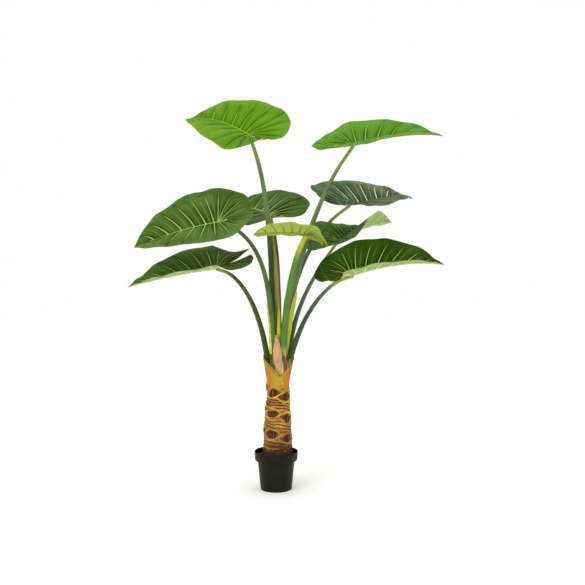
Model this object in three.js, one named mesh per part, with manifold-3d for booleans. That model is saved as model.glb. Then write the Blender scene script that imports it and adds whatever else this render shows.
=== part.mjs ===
// Potted alocasia: nine heart-shaped leaves on long stalks, a trunk wrapped in old leaf bases, and its pot.
// Millimetres, +Z up. The origin is the centre of the pot's underside, and the front is -Y.

import * as THREE from 'three';
import { mergeVertices } from 'three/addons/utils/BufferGeometryUtils.js';
import Module from 'manifold-3d';

const wasm = await Module();
wasm.setup();

// Sizes of the whole

// Clearance between pieces that touch, and between a stalk's top and its blade
const GAP = 0.3;
const SEAT_GAP = 0.45;

const POT = {
  height: 150, baseRadius: 61, neckRadius: 72.5, bandRadius: 83, rimRadius: 85,
  bandHeight: 33, wall: 2.5, floor: 3, edge: 1.5, segments: 36,
};
const SOIL = { top: 132, mound: 4 };

const TRUNK = {
  footZ: 60, soilLineZ: 138, straightZ: 300, rimZ: 521, cupFloorZ: 452, cupWall: 3, columns: 40,
  axisX: 5, leanX: 5, notchDepth: 64, notchAzimuth: -80, notchHalfAngle: 75, rimWave: 5,
};
// The trunk's radius at each height, from its foot in the soil to the flaring rim
const TRUNK_PROFILE = [
  [60, 54], [138, 54], [160, 55], [213, 52.5], [281, 49], [345, 44.5], [387, 41.5], [420, 43.5], [450, 48.5],
  [490, 55], [521, 59.5],
];
// Buds climb the trunk in one spiral of five to the turn, each between two folds like an eye's lids
const BUDS = {
  count: 15, topZ: 404, rise: -16.2, startAzimuth: 172, step: 72, radius: 15, stand: 5.5,
  foldHalfWidth: 38, foldHalfHeight: 21, foldHeight: 3, foldSharpness: 0.22,
};

// Half of a blade's outline from its tip to its cleft, a point at each main vein's end: [ahead, aside],
// in lengths from the stalk to the tip. The last point only steers the curve.
const OUTLINE = [
  [1, 0], [0.9, 0.075], [0.78, 0.18], [0.63, 0.29], [0.46, 0.385], [0.28, 0.455], [0.09, 0.49],
  [-0.1, 0.475], [-0.265, 0.4], [-0.385, 0.275], [-0.42, 0.15], [-0.34, 0.055], [-0.1, 0.02],
];
// Where each of those veins leaves the midrib: the last five radiate from the stalk
const VEIN_ROOTS = [1, 0.76, 0.58, 0.42, 0.27, 0.14, 0.045, 0, 0, 0, 0, 0, 0];
const BLADE = {
  veins: OUTLINE.length - 2, stalkVein: 7, stepsPerVein: 2, rings: [0, 0.06, 0.38, 0.7, 1],
  thickness: 1.3, keel: 5, veinBow: 0.1, quilt: 2.5, wave: 2, lobeEnd: 0.42, halfBreadth: 0.49,
  bluntReach: 2.2,
};
const STALK = { sides: 8, steps: 12, stations: [0, 0.15, 0.5, 1], through: 0.5 };

// Each leaf: where its stalk meets the blade, its heading (degrees from +X, seen from above), how it is
// pitched up and rolled, how its tip and lobes droop, how much less it is folded at the lobes' ends, how
// much fuller its tip is, and the stalk's curve. Pairs are [left, right].
const LEAVES = {
  top_left: {
    color: 0x5c9a22,
    attach: [-100, -30, 1371], heading: 144, pitch: 26, roll: -28, length: 345, breadth: 1.02,
    droop: 26, hook: 12, lobeDroop: [-50, -20], fold: [20, 20], lobeFold: [5, 0], curl: [15, 15], blunt: 0.5,
    stalk: { foot: [-2.5, 4], lower: [-14, 0, 800], upper: [-12, -20, 1170], radii: [11.2, 13.5, 11, 6.2] },
  },
  top_right: {
    color: 0x4f8c2c,
    attach: [292, 0, 1332], heading: 4, pitch: 15, roll: 16, length: 355, breadth: 1,
    droop: 14, hook: 10, lobeDroop: [-10, -40], fold: [23, 22], lobeFold: [15, 0], curl: [15, 15],
    stalk: { foot: [21, 0], lower: [46, 0, 781], upper: [130, 0, 1107], radii: [11.2, 13, 10.5, 6] },
  },
  front_young: {
    color: 0x9fb84e,
    attach: [114, -130, 1001], heading: -160, pitch: 10, roll: 8, length: 208, breadth: 1.05,
    droop: 18, hook: 4, lobeDroop: [30, 42], fold: [22, 10], lobeFold: [40, -10], curl: [25, 15],
    twist: 14, blunt: 1.5,
    stalk: { foot: [24, -30.5], lower: [31, -40, 709], upper: [60, -105, 900], radii: [11.2, 14, 13, 8.5] },
  },
  back: {
    color: 0x3f6f2c,
    attach: [-27, 165, 1068], heading: 135, pitch: 17, roll: -24, length: 345, breadth: 1,
    droop: 38, hook: 10, lobeDroop: [-40, -15], fold: [20, 12], curl: [15, 15], blunt: 0.4,
    stalk: { foot: [1.5, 32.5], lower: [19, 50, 738], upper: [8, 130, 968], radii: [11.2, 12.5, 9, 6] },
  },
  middle_left: {
    color: 0x3c6b22,
    attach: [-212, -120, 1046], heading: 188, pitch: -10, roll: -30, length: 325, breadth: 1.12,
    droop: 16, hook: 0, lobeDroop: [-20, 3], fold: [20, 22], lobeFold: [-5, 0], curl: [15, 15], blunt: 0.6,
    stalk: { foot: [-10, -27], lower: [-12, -40, 785], upper: [-30, -110, 1001], radii: [11.2, 12.5, 9, 6] },
  },
  lower_left: {
    color: 0x34601c,
    attach: [-225, -30, 868], heading: 186, pitch: -8, roll: -10, length: 345, breadth: 0.96,
    droop: 8, hook: 0, lobeDroop: [-35, -40], fold: [25, 28], lobeFold: [30, 35], curl: [15, 15],
    stalk: { foot: [-23, -8], lower: [-53, -10, 705], upper: [-125, -30, 845], radii: [11.2, 12, 9, 6.3] },
  },
  lower_right: {
    color: 0x2f5c14,
    attach: [288, -100, 847], heading: -12, pitch: 19, roll: 18, length: 345, breadth: 1,
    droop: 22, hook: 6, lobeDroop: [5, -95], fold: [32, 34], lobeFold: [0, 30], curl: [15, 15],
    stalk: { foot: [41, -12.5], lower: [82, -20, 665], upper: [175, -80, 816], radii: [11.2, 11.5, 8.2, 6] },
  },
  right_rear: {
    color: 0x47753a,
    attach: [247, 200, 963], heading: 28, pitch: 24, roll: 26, length: 285, breadth: 1,
    droop: 22, hook: 5, lobeDroop: [15, -10], fold: [14, 40], curl: [15, 15], twist: -60,
    stalk: { foot: [41, 12.5], lower: [58, 30, 700], upper: [128, 140, 791], radii: [11.2, 11.5, 8, 5.6] },
  },
  middle_right: {
    color: 0x3f7034,
    attach: [288, 120, 1105], heading: 40, pitch: 9, roll: 17, length: 365, breadth: 1,
    droop: 8, hook: 8, lobeDroop: [-30, -40], fold: [20, 24], curl: [15, 15],
    stalk: { foot: [25.5, 29.5], lower: [35, 40, 777], upper: [117, 100, 988], radii: [11.2, 12, 9, 5.6] },
  },
};

// Dried leaf bases that stand in the trunk's notch: [height, across, out from the trunk's axis, half width]
const PLATE = { thickness: 1.6, columns: 4, bow: 5 };
const DRY_SHEATH = {
  color: 0xc9a27a, axisX: 6,
  stations: [[453, 0, 43.8, 7], [485, 0, 46, 15], [525, -2, 52, 17], [570, -5, 55, 12], [615, -8, 54, 2]],
};
const HUSK = {
  color: 0x7a5636, axisX: 31,
  stations: [[453, 0, 39, 4], [480, 2, 42, 9], [510, 5, 48, 8], [535, 8, 50, 2]],
};

const COLORS = { pot: 0x1d1d1c, soil: 0x3a2620, trunk: 0xb07a34, stalk: 0x58834f, youngStalk: 0x86a04a };

// Solid helpers

const radians = THREE.MathUtils.degToRad;
const vector = (triple) => new THREE.Vector3(...triple);

function signedVolume(geometry) {
  const place = geometry.attributes.position;
  const index = geometry.index.array;
  const [a, b, c] = [new THREE.Vector3(), new THREE.Vector3(), new THREE.Vector3()];
  let sum = 0;
  for (let i = 0; i < index.length; i += 3) {
    a.fromBufferAttribute(place, index[i]);
    b.fromBufferAttribute(place, index[i + 1]);
    c.fromBufferAttribute(place, index[i + 2]);
    sum += a.dot(b.cross(c)) / 6;
  }
  return sum;
}

// Merges shared vertices, drops faces that have no area, and turns an inside-out body the right way
function weld(geometry) {
  const bare = new THREE.BufferGeometry();
  bare.setAttribute('position', geometry.attributes.position);
  bare.setIndex(geometry.index);
  const merged = mergeVertices(bare, 1e-3);
  const old = merged.index.array;
  const kept = [];
  for (let i = 0; i < old.length; i += 3) {
    const [a, b, c] = [old[i], old[i + 1], old[i + 2]];
    if (a !== b && b !== c && a !== c) kept.push(a, b, c);
  }
  merged.setIndex(kept);
  if (signedVolume(merged) < 0) {
    for (let i = 0; i < kept.length; i += 3) [kept[i], kept[i + 1]] = [kept[i + 1], kept[i]];
    merged.setIndex(kept);
  }
  return merged;
}

function toSolid(geometry) {
  const closed = weld(geometry);
  return new wasm.Manifold(new wasm.Mesh({
    numProp: 3,
    vertProperties: new Float32Array(closed.attributes.position.array),
    triVerts: new Uint32Array(closed.index.array),
  }));
}

function toGeometry(solid) {
  const mesh = solid.getMesh();
  const geometry = new THREE.BufferGeometry();
  geometry.setAttribute('position', new THREE.BufferAttribute(mesh.vertProperties, 3));
  geometry.setIndex(new THREE.BufferAttribute(mesh.triVerts, 1));
  return geometry;
}

// The largest separate body of a solid, which a cut may have left in pieces
function largest(solid) {
  return solid.decompose().reduce((best, body) => (body.volume() > best.volume() ? body : best));
}

function indexed(points, faces) {
  const geometry = new THREE.BufferGeometry().setFromPoints(points);
  geometry.setIndex(faces.flat());
  return geometry;
}

// A closed body over rings with equal counts of points, with a point to close each end
function loft(rings, start, end) {
  const count = rings[0].length;
  const points = [...rings.flat(), start, end];
  const faces = [];
  for (let k = 0; k < count; k += 1) {
    const next = (k + 1) % count;
    for (let r = 0; r + 1 < rings.length; r += 1) {
      const [a, b] = [r * count + k, r * count + next];
      const [c, d] = [b + count, a + count];
      faces.push([a, b, c], [a, c, d]);
    }
    const last = (rings.length - 1) * count;
    faces.push([points.length - 2, next, k], [points.length - 1, last + k, last + next]);
  }
  return weld(indexed(points, faces));
}

// A closed plate around a surface: above and below give each point's offset along its normal
function thicken(points, faces, above, below) {
  const normals = points.map(() => new THREE.Vector3());
  const edges = new Set();
  for (const [a, b, c] of faces) {
    const normal = points[b].clone().sub(points[a]).cross(points[c].clone().sub(points[a]));
    for (const corner of [a, b, c]) normals[corner].add(normal);
    for (const [from, to] of [[a, b], [b, c], [c, a]]) edges.add(`${from} ${to}`);
  }
  normals.forEach((normal) => normal.normalize());
  const top = points.map((point, i) => point.clone().addScaledVector(normals[i], above[i]));
  const bottom = points.map((point, i) => point.clone().addScaledVector(normals[i], -below[i]));
  const count = points.length;
  const all = faces.flatMap(([a, b, c]) => [[a, b, c], [c + count, b + count, a + count]]);
  for (const edge of edges) {
    const [from, to] = edge.split(' ').map(Number);
    if (!edges.has(`${to} ${from}`)) all.push([to, from, from + count], [to, from + count, to + count]);
  }
  return weld(indexed([...top, ...bottom], all));
}

// A smooth value between stations [place, value]
function along(stations, place) {
  const after = stations.findIndex(([at]) => at >= place);
  if (after <= 0) return stations[after === 0 ? 0 : stations.length - 1][1];
  const [[fromAt, from], [toAt, to]] = [stations[after - 1], stations[after]];
  return THREE.MathUtils.lerp(from, to, (place - fromAt) / (toAt - fromAt));
}

function revolve(profile, segments) {
  const points = profile.map(([radius, z]) => new THREE.Vector2(radius, z));
  return weld(new THREE.LatheGeometry(points, segments).rotateX(Math.PI / 2));
}

// Pot and soil

function potGeometry() {
  const bandZ = POT.height - POT.bandHeight;
  return revolve([
    [0, 0], [POT.baseRadius - POT.edge, 0], [POT.baseRadius, POT.edge], [POT.neckRadius, bandZ - POT.edge],
    [POT.bandRadius - POT.edge, bandZ - POT.edge], [POT.bandRadius, bandZ],
    [POT.rimRadius, POT.height - POT.edge], [POT.rimRadius - POT.edge, POT.height],
    [POT.rimRadius - POT.wall, POT.height - POT.edge],
    [POT.bandRadius - POT.wall, bandZ + POT.wall], [POT.neckRadius - POT.wall, bandZ + POT.wall],
    [POT.baseRadius - POT.wall, POT.floor], [0, POT.floor],
  ], POT.segments);
}

function soilGeometry() {
  const bandZ = POT.height - POT.bandHeight;
  const bodyWall = POT.wall + GAP;
  const ledgeZ = bandZ + POT.wall + GAP;
  const holeRadius = TRUNK_PROFILE[0][1] + GAP;
  const fill = toSolid(revolve([
    [0, POT.floor + GAP], [POT.baseRadius - bodyWall, POT.floor + GAP], [POT.neckRadius - bodyWall, ledgeZ],
    [POT.bandRadius - bodyWall, ledgeZ], [POT.bandRadius - bodyWall, SOIL.top],
    [holeRadius, SOIL.top + SOIL.mound], [0, SOIL.top + SOIL.mound],
  ], POT.segments));
  const depth = TRUNK.soilLineZ - TRUNK.footZ + GAP;
  const hole = new THREE.CylinderGeometry(holeRadius, holeRadius, depth, TRUNK.columns);
  hole.rotateX(Math.PI / 2).rotateZ(Math.PI / 2);
  hole.translate(TRUNK.axisX, 0, TRUNK.footZ - GAP + depth / 2);
  return toGeometry(fill.subtract(toSolid(hole)));
}

// Trunk

function trunkAxis(z) {
  const rise = THREE.MathUtils.clamp((z - TRUNK.soilLineZ) / (TRUNK.rimZ - TRUNK.soilLineZ), 0, 1);
  return TRUNK.axisX + TRUNK.leanX * rise;
}

const budPlaces = Array.from({ length: BUDS.count }, (_, k) => ({
  azimuth: radians(BUDS.startAzimuth + BUDS.step * k),
  z: BUDS.topZ + BUDS.rise * k,
}));

function turnBetween(a, b) {
  return Math.atan2(Math.sin(a - b), Math.cos(a - b));
}

// The ridges of the folds: an arc over and an arc under each bud, which meet left and right of it
function foldRelief(azimuth, z) {
  const radius = along(TRUNK_PROFILE, z);
  let relief = 0;
  for (const bud of budPlaces) {
    const aside = turnBetween(azimuth, bud.azimuth) * radius / BUDS.foldHalfWidth;
    if (Math.abs(aside) >= 1) continue;
    const off = (Math.abs(z - bud.z) / BUDS.foldHalfHeight - (1 - aside * aside)) / BUDS.foldSharpness;
    relief = Math.max(relief, BUDS.foldHeight * Math.exp(-off * off));
  }
  return relief;
}

function rimHeight(azimuth) {
  const off = Math.abs(turnBetween(azimuth, radians(TRUNK.notchAzimuth))) / radians(TRUNK.notchHalfAngle);
  const notch = TRUNK.notchDepth * Math.max(0, 1 - off);
  return TRUNK.rimZ - notch - TRUNK.rimWave * (1 - Math.cos(3 * azimuth)) / 2;
}

function trunkSolid() {
  const lowRows = [TRUNK.footZ, TRUNK.soilLineZ, 150, 168, 190, 212, 234, 256, 278, TRUNK.straightZ];
  const highRows = 10;
  const cupRows = 4;
  const innerRadius = (z) => along(TRUNK_PROFILE, z) - TRUNK.cupWall;
  const azimuths = Array.from({ length: TRUNK.columns }, (_, k) => 2 * Math.PI * k / TRUNK.columns);
  const ring = (height, radius) => azimuths.map((azimuth) => {
    const z = height(azimuth);
    const r = radius(azimuth, z);
    return new THREE.Vector3(trunkAxis(z) + r * Math.cos(azimuth), r * Math.sin(azimuth), z);
  });
  const bark = (azimuth, z) => along(TRUNK_PROFILE, z) + (z > TRUNK.soilLineZ ? foldRelief(azimuth, z) : 0);
  const rings = lowRows.map((z) => ring(() => z, bark));
  for (let k = 1; k <= highRows; k += 1) {
    const height = (azimuth) => THREE.MathUtils.lerp(TRUNK.straightZ, rimHeight(azimuth), k / highRows);
    rings.push(ring(height, bark));
  }
  for (let k = 0; k <= cupRows; k += 1) {
    rings.push(ring(
      (azimuth) => THREE.MathUtils.lerp(rimHeight(azimuth), TRUNK.cupFloorZ, k / cupRows),
      (azimuth, z) => innerRadius(z),
    ));
  }
  const foot = new THREE.Vector3(trunkAxis(TRUNK.footZ), 0, TRUNK.footZ);
  const floor = new THREE.Vector3(trunkAxis(TRUNK.cupFloorZ), 0, TRUNK.cupFloorZ);
  return budPlaces.reduce((solid, bud) => solid.add(budSolid(bud)), toSolid(loft(rings, foot, floor)));
}

function budSolid(bud) {
  const geometry = new THREE.SphereGeometry(BUDS.radius, 8, 5);
  geometry.scale(BUDS.stand * 2 / BUDS.radius, 1, 1);
  geometry.translate(along(TRUNK_PROFILE, bud.z) - BUDS.stand, 0, 0).rotateZ(bud.azimuth);
  return toSolid(geometry.translate(trunkAxis(bud.z), 0, bud.z));
}

// Leaf blades

function catmullRom(points, place) {
  const last = points.length - 1;
  const from = Math.min(Math.floor(place), last - 1);
  const [p0, p1, p2, p3] = [-1, 0, 1, 2].map((k) => points[THREE.MathUtils.clamp(from + k, 0, last)]);
  const f = place - from;
  return p1 + 0.5 * f * (p2 - p0 + f * (2 * p0 - 5 * p1 + 4 * p2 - p3 + f * (3 * (p1 - p2) + p3 - p0)));
}

// The bent line along a blade on one side: how far on, how far up and at what angle, at each place ahead
function bentLine(leaf, side) {
  const steps = 120;
  const lowest = -0.45;
  const bend = (f) => (f > 0
    ? -radians(leaf.droop * f + leaf.hook * f ** 3)
    : -radians(leaf.lobeDroop[side]) * f / BLADE.lobeEnd);
  const walk = (target) => {
    let [on, up] = [0, 0];
    for (let k = 0; k < steps; k += 1) {
      const angle = bend(target * (k + 0.5) / steps);
      on += Math.cos(angle) * target / steps;
      up += Math.sin(angle) * target / steps;
    }
    return { on: on * leaf.length, up: up * leaf.length, angle: bend(target) };
  };
  return (ahead) => walk(THREE.MathUtils.clamp(ahead, lowest, 1));
}

// The leaf's own directions: towards the tip, to the left, and out of the upper face
function bladeFrame(leaf) {
  const [heading, pitch, roll] = [leaf.heading, leaf.pitch, leaf.roll].map(radians);
  const on = new THREE.Vector3(
    Math.cos(pitch) * Math.cos(heading), Math.cos(pitch) * Math.sin(heading), Math.sin(pitch),
  );
  const level = new THREE.Vector3(-Math.sin(heading), Math.cos(heading), 0);
  const out = on.clone().cross(level);
  const left = level.clone().multiplyScalar(Math.cos(roll)).addScaledVector(out, Math.sin(roll));
  return { on, left, out: on.clone().cross(left) };
}

// A point of the blade's middle surface. vein counts from 0 at the tip to the cleft, t runs from the midrib
// to the edge along it, and side is 0 on the left and 1 on the right.
function bladePoint(leaf, frame, line, side, vein, t) {
  const sign = side === 0 ? 1 : -1;
  const [endAhead, endAside] = [0, 1].map((k) => catmullRom(OUTLINE.map((point) => point[k]), vein));
  const root = Math.max(0, catmullRom(VEIN_ROOTS, vein));
  const bow = BLADE.veinBow * (t * t - t) * THREE.MathUtils.clamp(endAhead, 0, 1);
  const ahead = root + t * (endAhead - root) + bow;
  const fuller = 1 + (leaf.blunt ?? 0) * Math.exp(-((vein / BLADE.bluntReach) ** 2));
  const aside = t * Math.max(0, endAside) * fuller * leaf.length * leaf.breadth;
  const { on, up, angle } = line[side](ahead);
  const half = BLADE.halfBreadth * leaf.length;
  const atLobe = THREE.MathUtils.clamp(-ahead / BLADE.lobeEnd, 0, 1);
  const fold = radians(leaf.fold[side] - (leaf.lobeFold?.[side] ?? 0) * atLobe);
  const curl = radians(leaf.curl[side]);
  const turned = fold - curl * aside / half;
  const across = half / curl * (Math.sin(fold) - Math.sin(turned));
  const wave = BLADE.wave * Math.sin(Math.PI * vein + sign) * t ** 3 * Math.min(1, vein);
  const quilt = BLADE.quilt * Math.sin(Math.PI * vein) ** 2 * 4 * t * (1 - t);
  const lift = half / curl * (Math.cos(turned) - Math.cos(fold)) + wave + quilt;
  const twist = radians(leaf.twist ?? 0) * THREE.MathUtils.clamp(ahead, 0, 1);
  const leftward = sign * across * Math.cos(twist) - lift * Math.sin(twist);
  const outward = sign * across * Math.sin(twist) + lift * Math.cos(twist);
  return vector(leaf.attach)
    .addScaledVector(frame.on, on - outward * Math.sin(angle))
    .addScaledVector(frame.left, leftward)
    .addScaledVector(frame.out, up + outward * Math.cos(angle));
}

// A blade as a closed body. One that is grown is thicker on both faces and reaches further into its cleft.
function bladeSolid(leaf, grow = 0) {
  const frame = bladeFrame(leaf);
  const line = [bentLine(leaf, 0), bentLine(leaf, 1)];
  const [points, above, below] = [[], [], []];
  const known = new Map();
  const corner = (side, step, ring) => {
    const vein = step / BLADE.stepsPerVein;
    const t = BLADE.rings[ring];
    let key = `${side} ${step} ${ring}`;
    if (step === 0) key = 'tip';
    else if (ring === 0) key = vein >= BLADE.stalkVein ? 'stalk' : `rib ${step}`;
    if (!known.has(key)) {
      const point = bladePoint(leaf, frame, line, side, vein, t);
      if (key === 'stalk') point.addScaledVector(frame.on, -grow);
      else if (vein === BLADE.veins) point.addScaledVector(frame.left, side === 0 ? -grow : grow);
      known.set(key, points.length);
      points.push(point);
      const keel = ring === 0 && step > 0 ? BLADE.keel * Math.min(1, vein / BLADE.stalkVein) : 0;
      above.push(BLADE.thickness / 2 + grow);
      below.push(BLADE.thickness / 2 + keel + grow);
    }
    return known.get(key);
  };
  const faces = [];
  const push = (side, a, b, c) => {
    if (a === b || b === c || a === c) return;
    faces.push(side === 0 ? [a, c, b] : [a, b, c]);
  };
  for (const side of [0, 1]) {
    for (let step = 0; step < BLADE.veins * BLADE.stepsPerVein; step += 1) {
      for (let ring = 0; ring + 1 < BLADE.rings.length; ring += 1) {
        const [a, b] = [corner(side, step, ring), corner(side, step + 1, ring)];
        const [c, d] = [corner(side, step + 1, ring + 1), corner(side, step, ring + 1)];
        push(side, a, b, c);
        push(side, a, c, d);
      }
    }
  }
  return toSolid(thicken(points, faces, above, below));
}

// What a stalk is cut by to seat under its blade
function bladeSeat(leaf, blade) {
  return blade.add(bladeSolid(leaf, SEAT_GAP));
}

// Leaf stalks

function stalkSolid(leaf, grow = 0) {
  const { foot, lower, upper, radii } = leaf.stalk;
  const footZ = TRUNK.cupFloorZ + GAP;
  const start = new THREE.Vector3(foot[0], foot[1], footZ);
  const curve = new THREE.CubicBezierCurve3(start, vector(lower), vector(upper), vector(leaf.attach));
  const { tangents, normals, binormals } = curve.computeFrenetFrames(STALK.steps, false);
  const stations = STALK.stations.map((place, k) => [place, radii[k]]);
  const ring = (centre, k, radius) => Array.from({ length: STALK.sides }, (_, side) => {
    const turn = 2 * Math.PI * side / STALK.sides;
    return centre.clone()
      .addScaledVector(normals[k], radius * Math.cos(turn))
      .addScaledVector(binormals[k], radius * Math.sin(turn));
  });
  const rings = Array.from({ length: STALK.steps + 1 }, (_, k) => {
    const place = k / STALK.steps;
    return ring(curve.getPointAt(place), k, along(stations, place) + grow);
  });
  for (const point of rings[0]) point.addScaledVector(tangents[0], (footZ - point.z) / tangents[0].z);
  const beyond = vector(leaf.attach).addScaledVector(tangents[STALK.steps], STALK.through);
  rings.push(ring(beyond, STALK.steps, radii.at(-1) + grow));
  return toSolid(loft(rings, start, beyond));
}

// Dried leaf bases

function plateSolid({ axisX, stations }) {
  const columns = PLATE.columns;
  const points = stations.flatMap(([z, across, out, halfWidth]) => (
    Array.from({ length: columns + 1 }, (_, k) => {
      const side = 2 * k / columns - 1;
      return new THREE.Vector3(axisX + across + side * halfWidth, -out + PLATE.bow * side * side, z);
    })));
  const faces = [];
  for (let row = 0; row + 1 < stations.length; row += 1) {
    for (let k = 0; k < columns; k += 1) {
      const a = row * (columns + 1) + k;
      const c = a + columns + 2;
      faces.push([a, a + 1, c], [a, c, c - 1]);
    }
  }
  const half = points.map(() => PLATE.thickness / 2);
  return toSolid(thicken(points, faces, half, half));
}

// Assembly

function piece(name, solid, color, roughness) {
  const geometry = solid instanceof THREE.BufferGeometry ? solid : toGeometry(solid);
  const mesh = new THREE.Mesh(geometry, new THREE.MeshStandardMaterial({ color, roughness, metalness: 0 }));
  mesh.name = name;
  return mesh;
}

const plant = new THREE.Group();
plant.add(piece('pot', potGeometry(), COLORS.pot, 0.55));
plant.add(piece('soil', soilGeometry(), COLORS.soil, 0.95));

let trunk = trunkSolid();
const placedStalks = [];
for (const [name, leaf] of Object.entries(LEAVES)) {
  const blade = bladeSolid(leaf);
  const rough = placedStalks.reduce((solid, inner) => solid.subtract(inner), stalkSolid(leaf));
  const stalk = largest(rough.subtract(bladeSeat(leaf, blade)));
  const grown = stalkSolid(leaf, GAP);
  placedStalks.push(grown);
  trunk = trunk.subtract(grown);
  plant.add(piece(`stalk_${name}`, stalk, name === 'front_young' ? COLORS.youngStalk : COLORS.stalk, 0.5));
  plant.add(piece(`blade_${name}`, blade, leaf.color, 0.45));
}
trunk = largest(trunk);
plant.add(piece('trunk', trunk, COLORS.trunk, 0.8));

for (const [name, base] of Object.entries({ dry_sheath: DRY_SHEATH, husk: HUSK })) {
  const clear = placedStalks.reduce((solid, stalk) => solid.subtract(stalk), plateSolid(base));
  plant.add(piece(name, largest(clear), base.color, 0.85));
}

export default plant;
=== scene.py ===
"""Dresses the potted alocasia: waved heart-shaped blades, sheathed stalks, a folded trunk and its pot.

Lengths are in metres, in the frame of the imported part: +Z up, the front at -Y, the origin under the pot.
"""

import logging
import math
from collections.abc import Mapping, Sequence
from dataclasses import dataclass
from enum import Enum
from typing import Any

import bpy
import numpy as np
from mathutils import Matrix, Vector


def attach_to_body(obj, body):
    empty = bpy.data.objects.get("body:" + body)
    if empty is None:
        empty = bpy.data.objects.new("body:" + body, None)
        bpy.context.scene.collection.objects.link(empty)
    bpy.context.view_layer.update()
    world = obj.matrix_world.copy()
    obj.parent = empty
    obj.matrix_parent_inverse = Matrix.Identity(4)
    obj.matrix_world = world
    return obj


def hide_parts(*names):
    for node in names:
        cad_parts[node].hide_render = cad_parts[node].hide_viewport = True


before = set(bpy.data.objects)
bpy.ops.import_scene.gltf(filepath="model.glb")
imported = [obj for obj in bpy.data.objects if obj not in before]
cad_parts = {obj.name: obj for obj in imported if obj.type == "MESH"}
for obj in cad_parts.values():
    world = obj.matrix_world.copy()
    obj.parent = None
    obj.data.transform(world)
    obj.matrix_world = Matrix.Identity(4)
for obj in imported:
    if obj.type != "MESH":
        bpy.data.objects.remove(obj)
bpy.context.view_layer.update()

log = logging.getLogger("alocasia")
Array = np.ndarray
BODY = "root"
MM = 0.001


# Curves and noise on whole arrays


def step(low: float, high: float, x: Array) -> Array:
    """A smooth step, level at both ends: 3u^2 - 2u^3, with u running from 0 at low to 1 at high.

    Args:
        low: Where the step is 0.
        high: Where the step is 1. It may be below low.
        x: The values to step over.

    Returns:
        The step's height at each value.
    """
    u = np.clip((x - low) / (high - low), 0.0, 1.0)
    return u * u * (3.0 - 2.0 * u)


def hump(x: Array, centre: Array | float, width: Array | float) -> Array:
    """A bell of height 1: e to the power of minus the squared distance from its centre in widths.

    Args:
        x: The values to raise the bell over.
        centre: Where it is highest.
        width: How far from there it has fallen to 0.37.

    Returns:
        The bell's height at each value.
    """
    return np.exp(-(((x - centre) / width) ** 2))


def turn_between(a: Array, b: Array | float) -> Array:
    """The angle from b to a, between minus and plus half a turn.

    Args:
        a: Angles in radians.
        b: Angles in radians.

    Returns:
        The signed difference.
    """
    return np.arctan2(np.sin(a - b), np.cos(a - b))


def spline(points: Array, place: Array) -> Array:
    """A smooth curve through evenly counted points (uniform Catmull-Rom).

    Args:
        points: The values to pass through, one for each whole place.
        place: Where to read the curve.

    Returns:
        The curve's value at each place.
    """
    last = len(points) - 1
    start = np.clip(np.floor(place).astype(int), 0, last - 1)
    f = place - start
    p0, p1, p2, p3 = (points[np.clip(start + k, 0, last)] for k in (-1, 0, 1, 2))
    return p1 + 0.5 * f * (p2 - p0 + f * (2 * p0 - 5 * p1 + 4 * p2 - p3 + f * (3 * (p1 - p2) + p3 - p0)))


def cloud(u: Array, v: Array, cells: tuple[int, int], seed: int) -> Array:
    """Seeded smooth noise: random heights on a lattice, blended by smooth steps. It repeats along u.

    Args:
        u: Place along the lattice's first axis, where 1 is once round.
        v: Place along its second axis, from 0 to 1.
        cells: How many cells the lattice has each way.
        seed: The draw's seed.

    Returns:
        Heights from -1 to 1.
    """
    lattice = np.random.default_rng(seed).uniform(-1.0, 1.0, (cells[0], cells[1] + 2))
    x = np.mod(u, 1.0) * cells[0]
    y = np.clip(v, 0.0, 1.0) * cells[1]
    i, j = np.floor(x).astype(int), np.floor(y).astype(int)
    fx, fy = step(0.0, 1.0, x - i), step(0.0, 1.0, y - j)
    i0, i1 = i % cells[0], (i + 1) % cells[0]
    near = lattice[i0, j] * (1 - fx) + lattice[i1, j] * fx
    far = lattice[i0, j + 1] * (1 - fx) + lattice[i1, j + 1] * fx
    return near * (1 - fy) + far * fy


def unit(vectors: Array) -> Array:
    """The vectors with their lengths made 1."""
    return vectors / np.maximum(np.linalg.norm(vectors, axis=-1, keepdims=True), 1e-12)


def grid(first: Array, second: Array) -> tuple[Array, Array]:
    """Two grids that run along the first and the second parameter."""
    return tuple(np.meshgrid(first, second, indexing="ij"))


# Meshes


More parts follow.
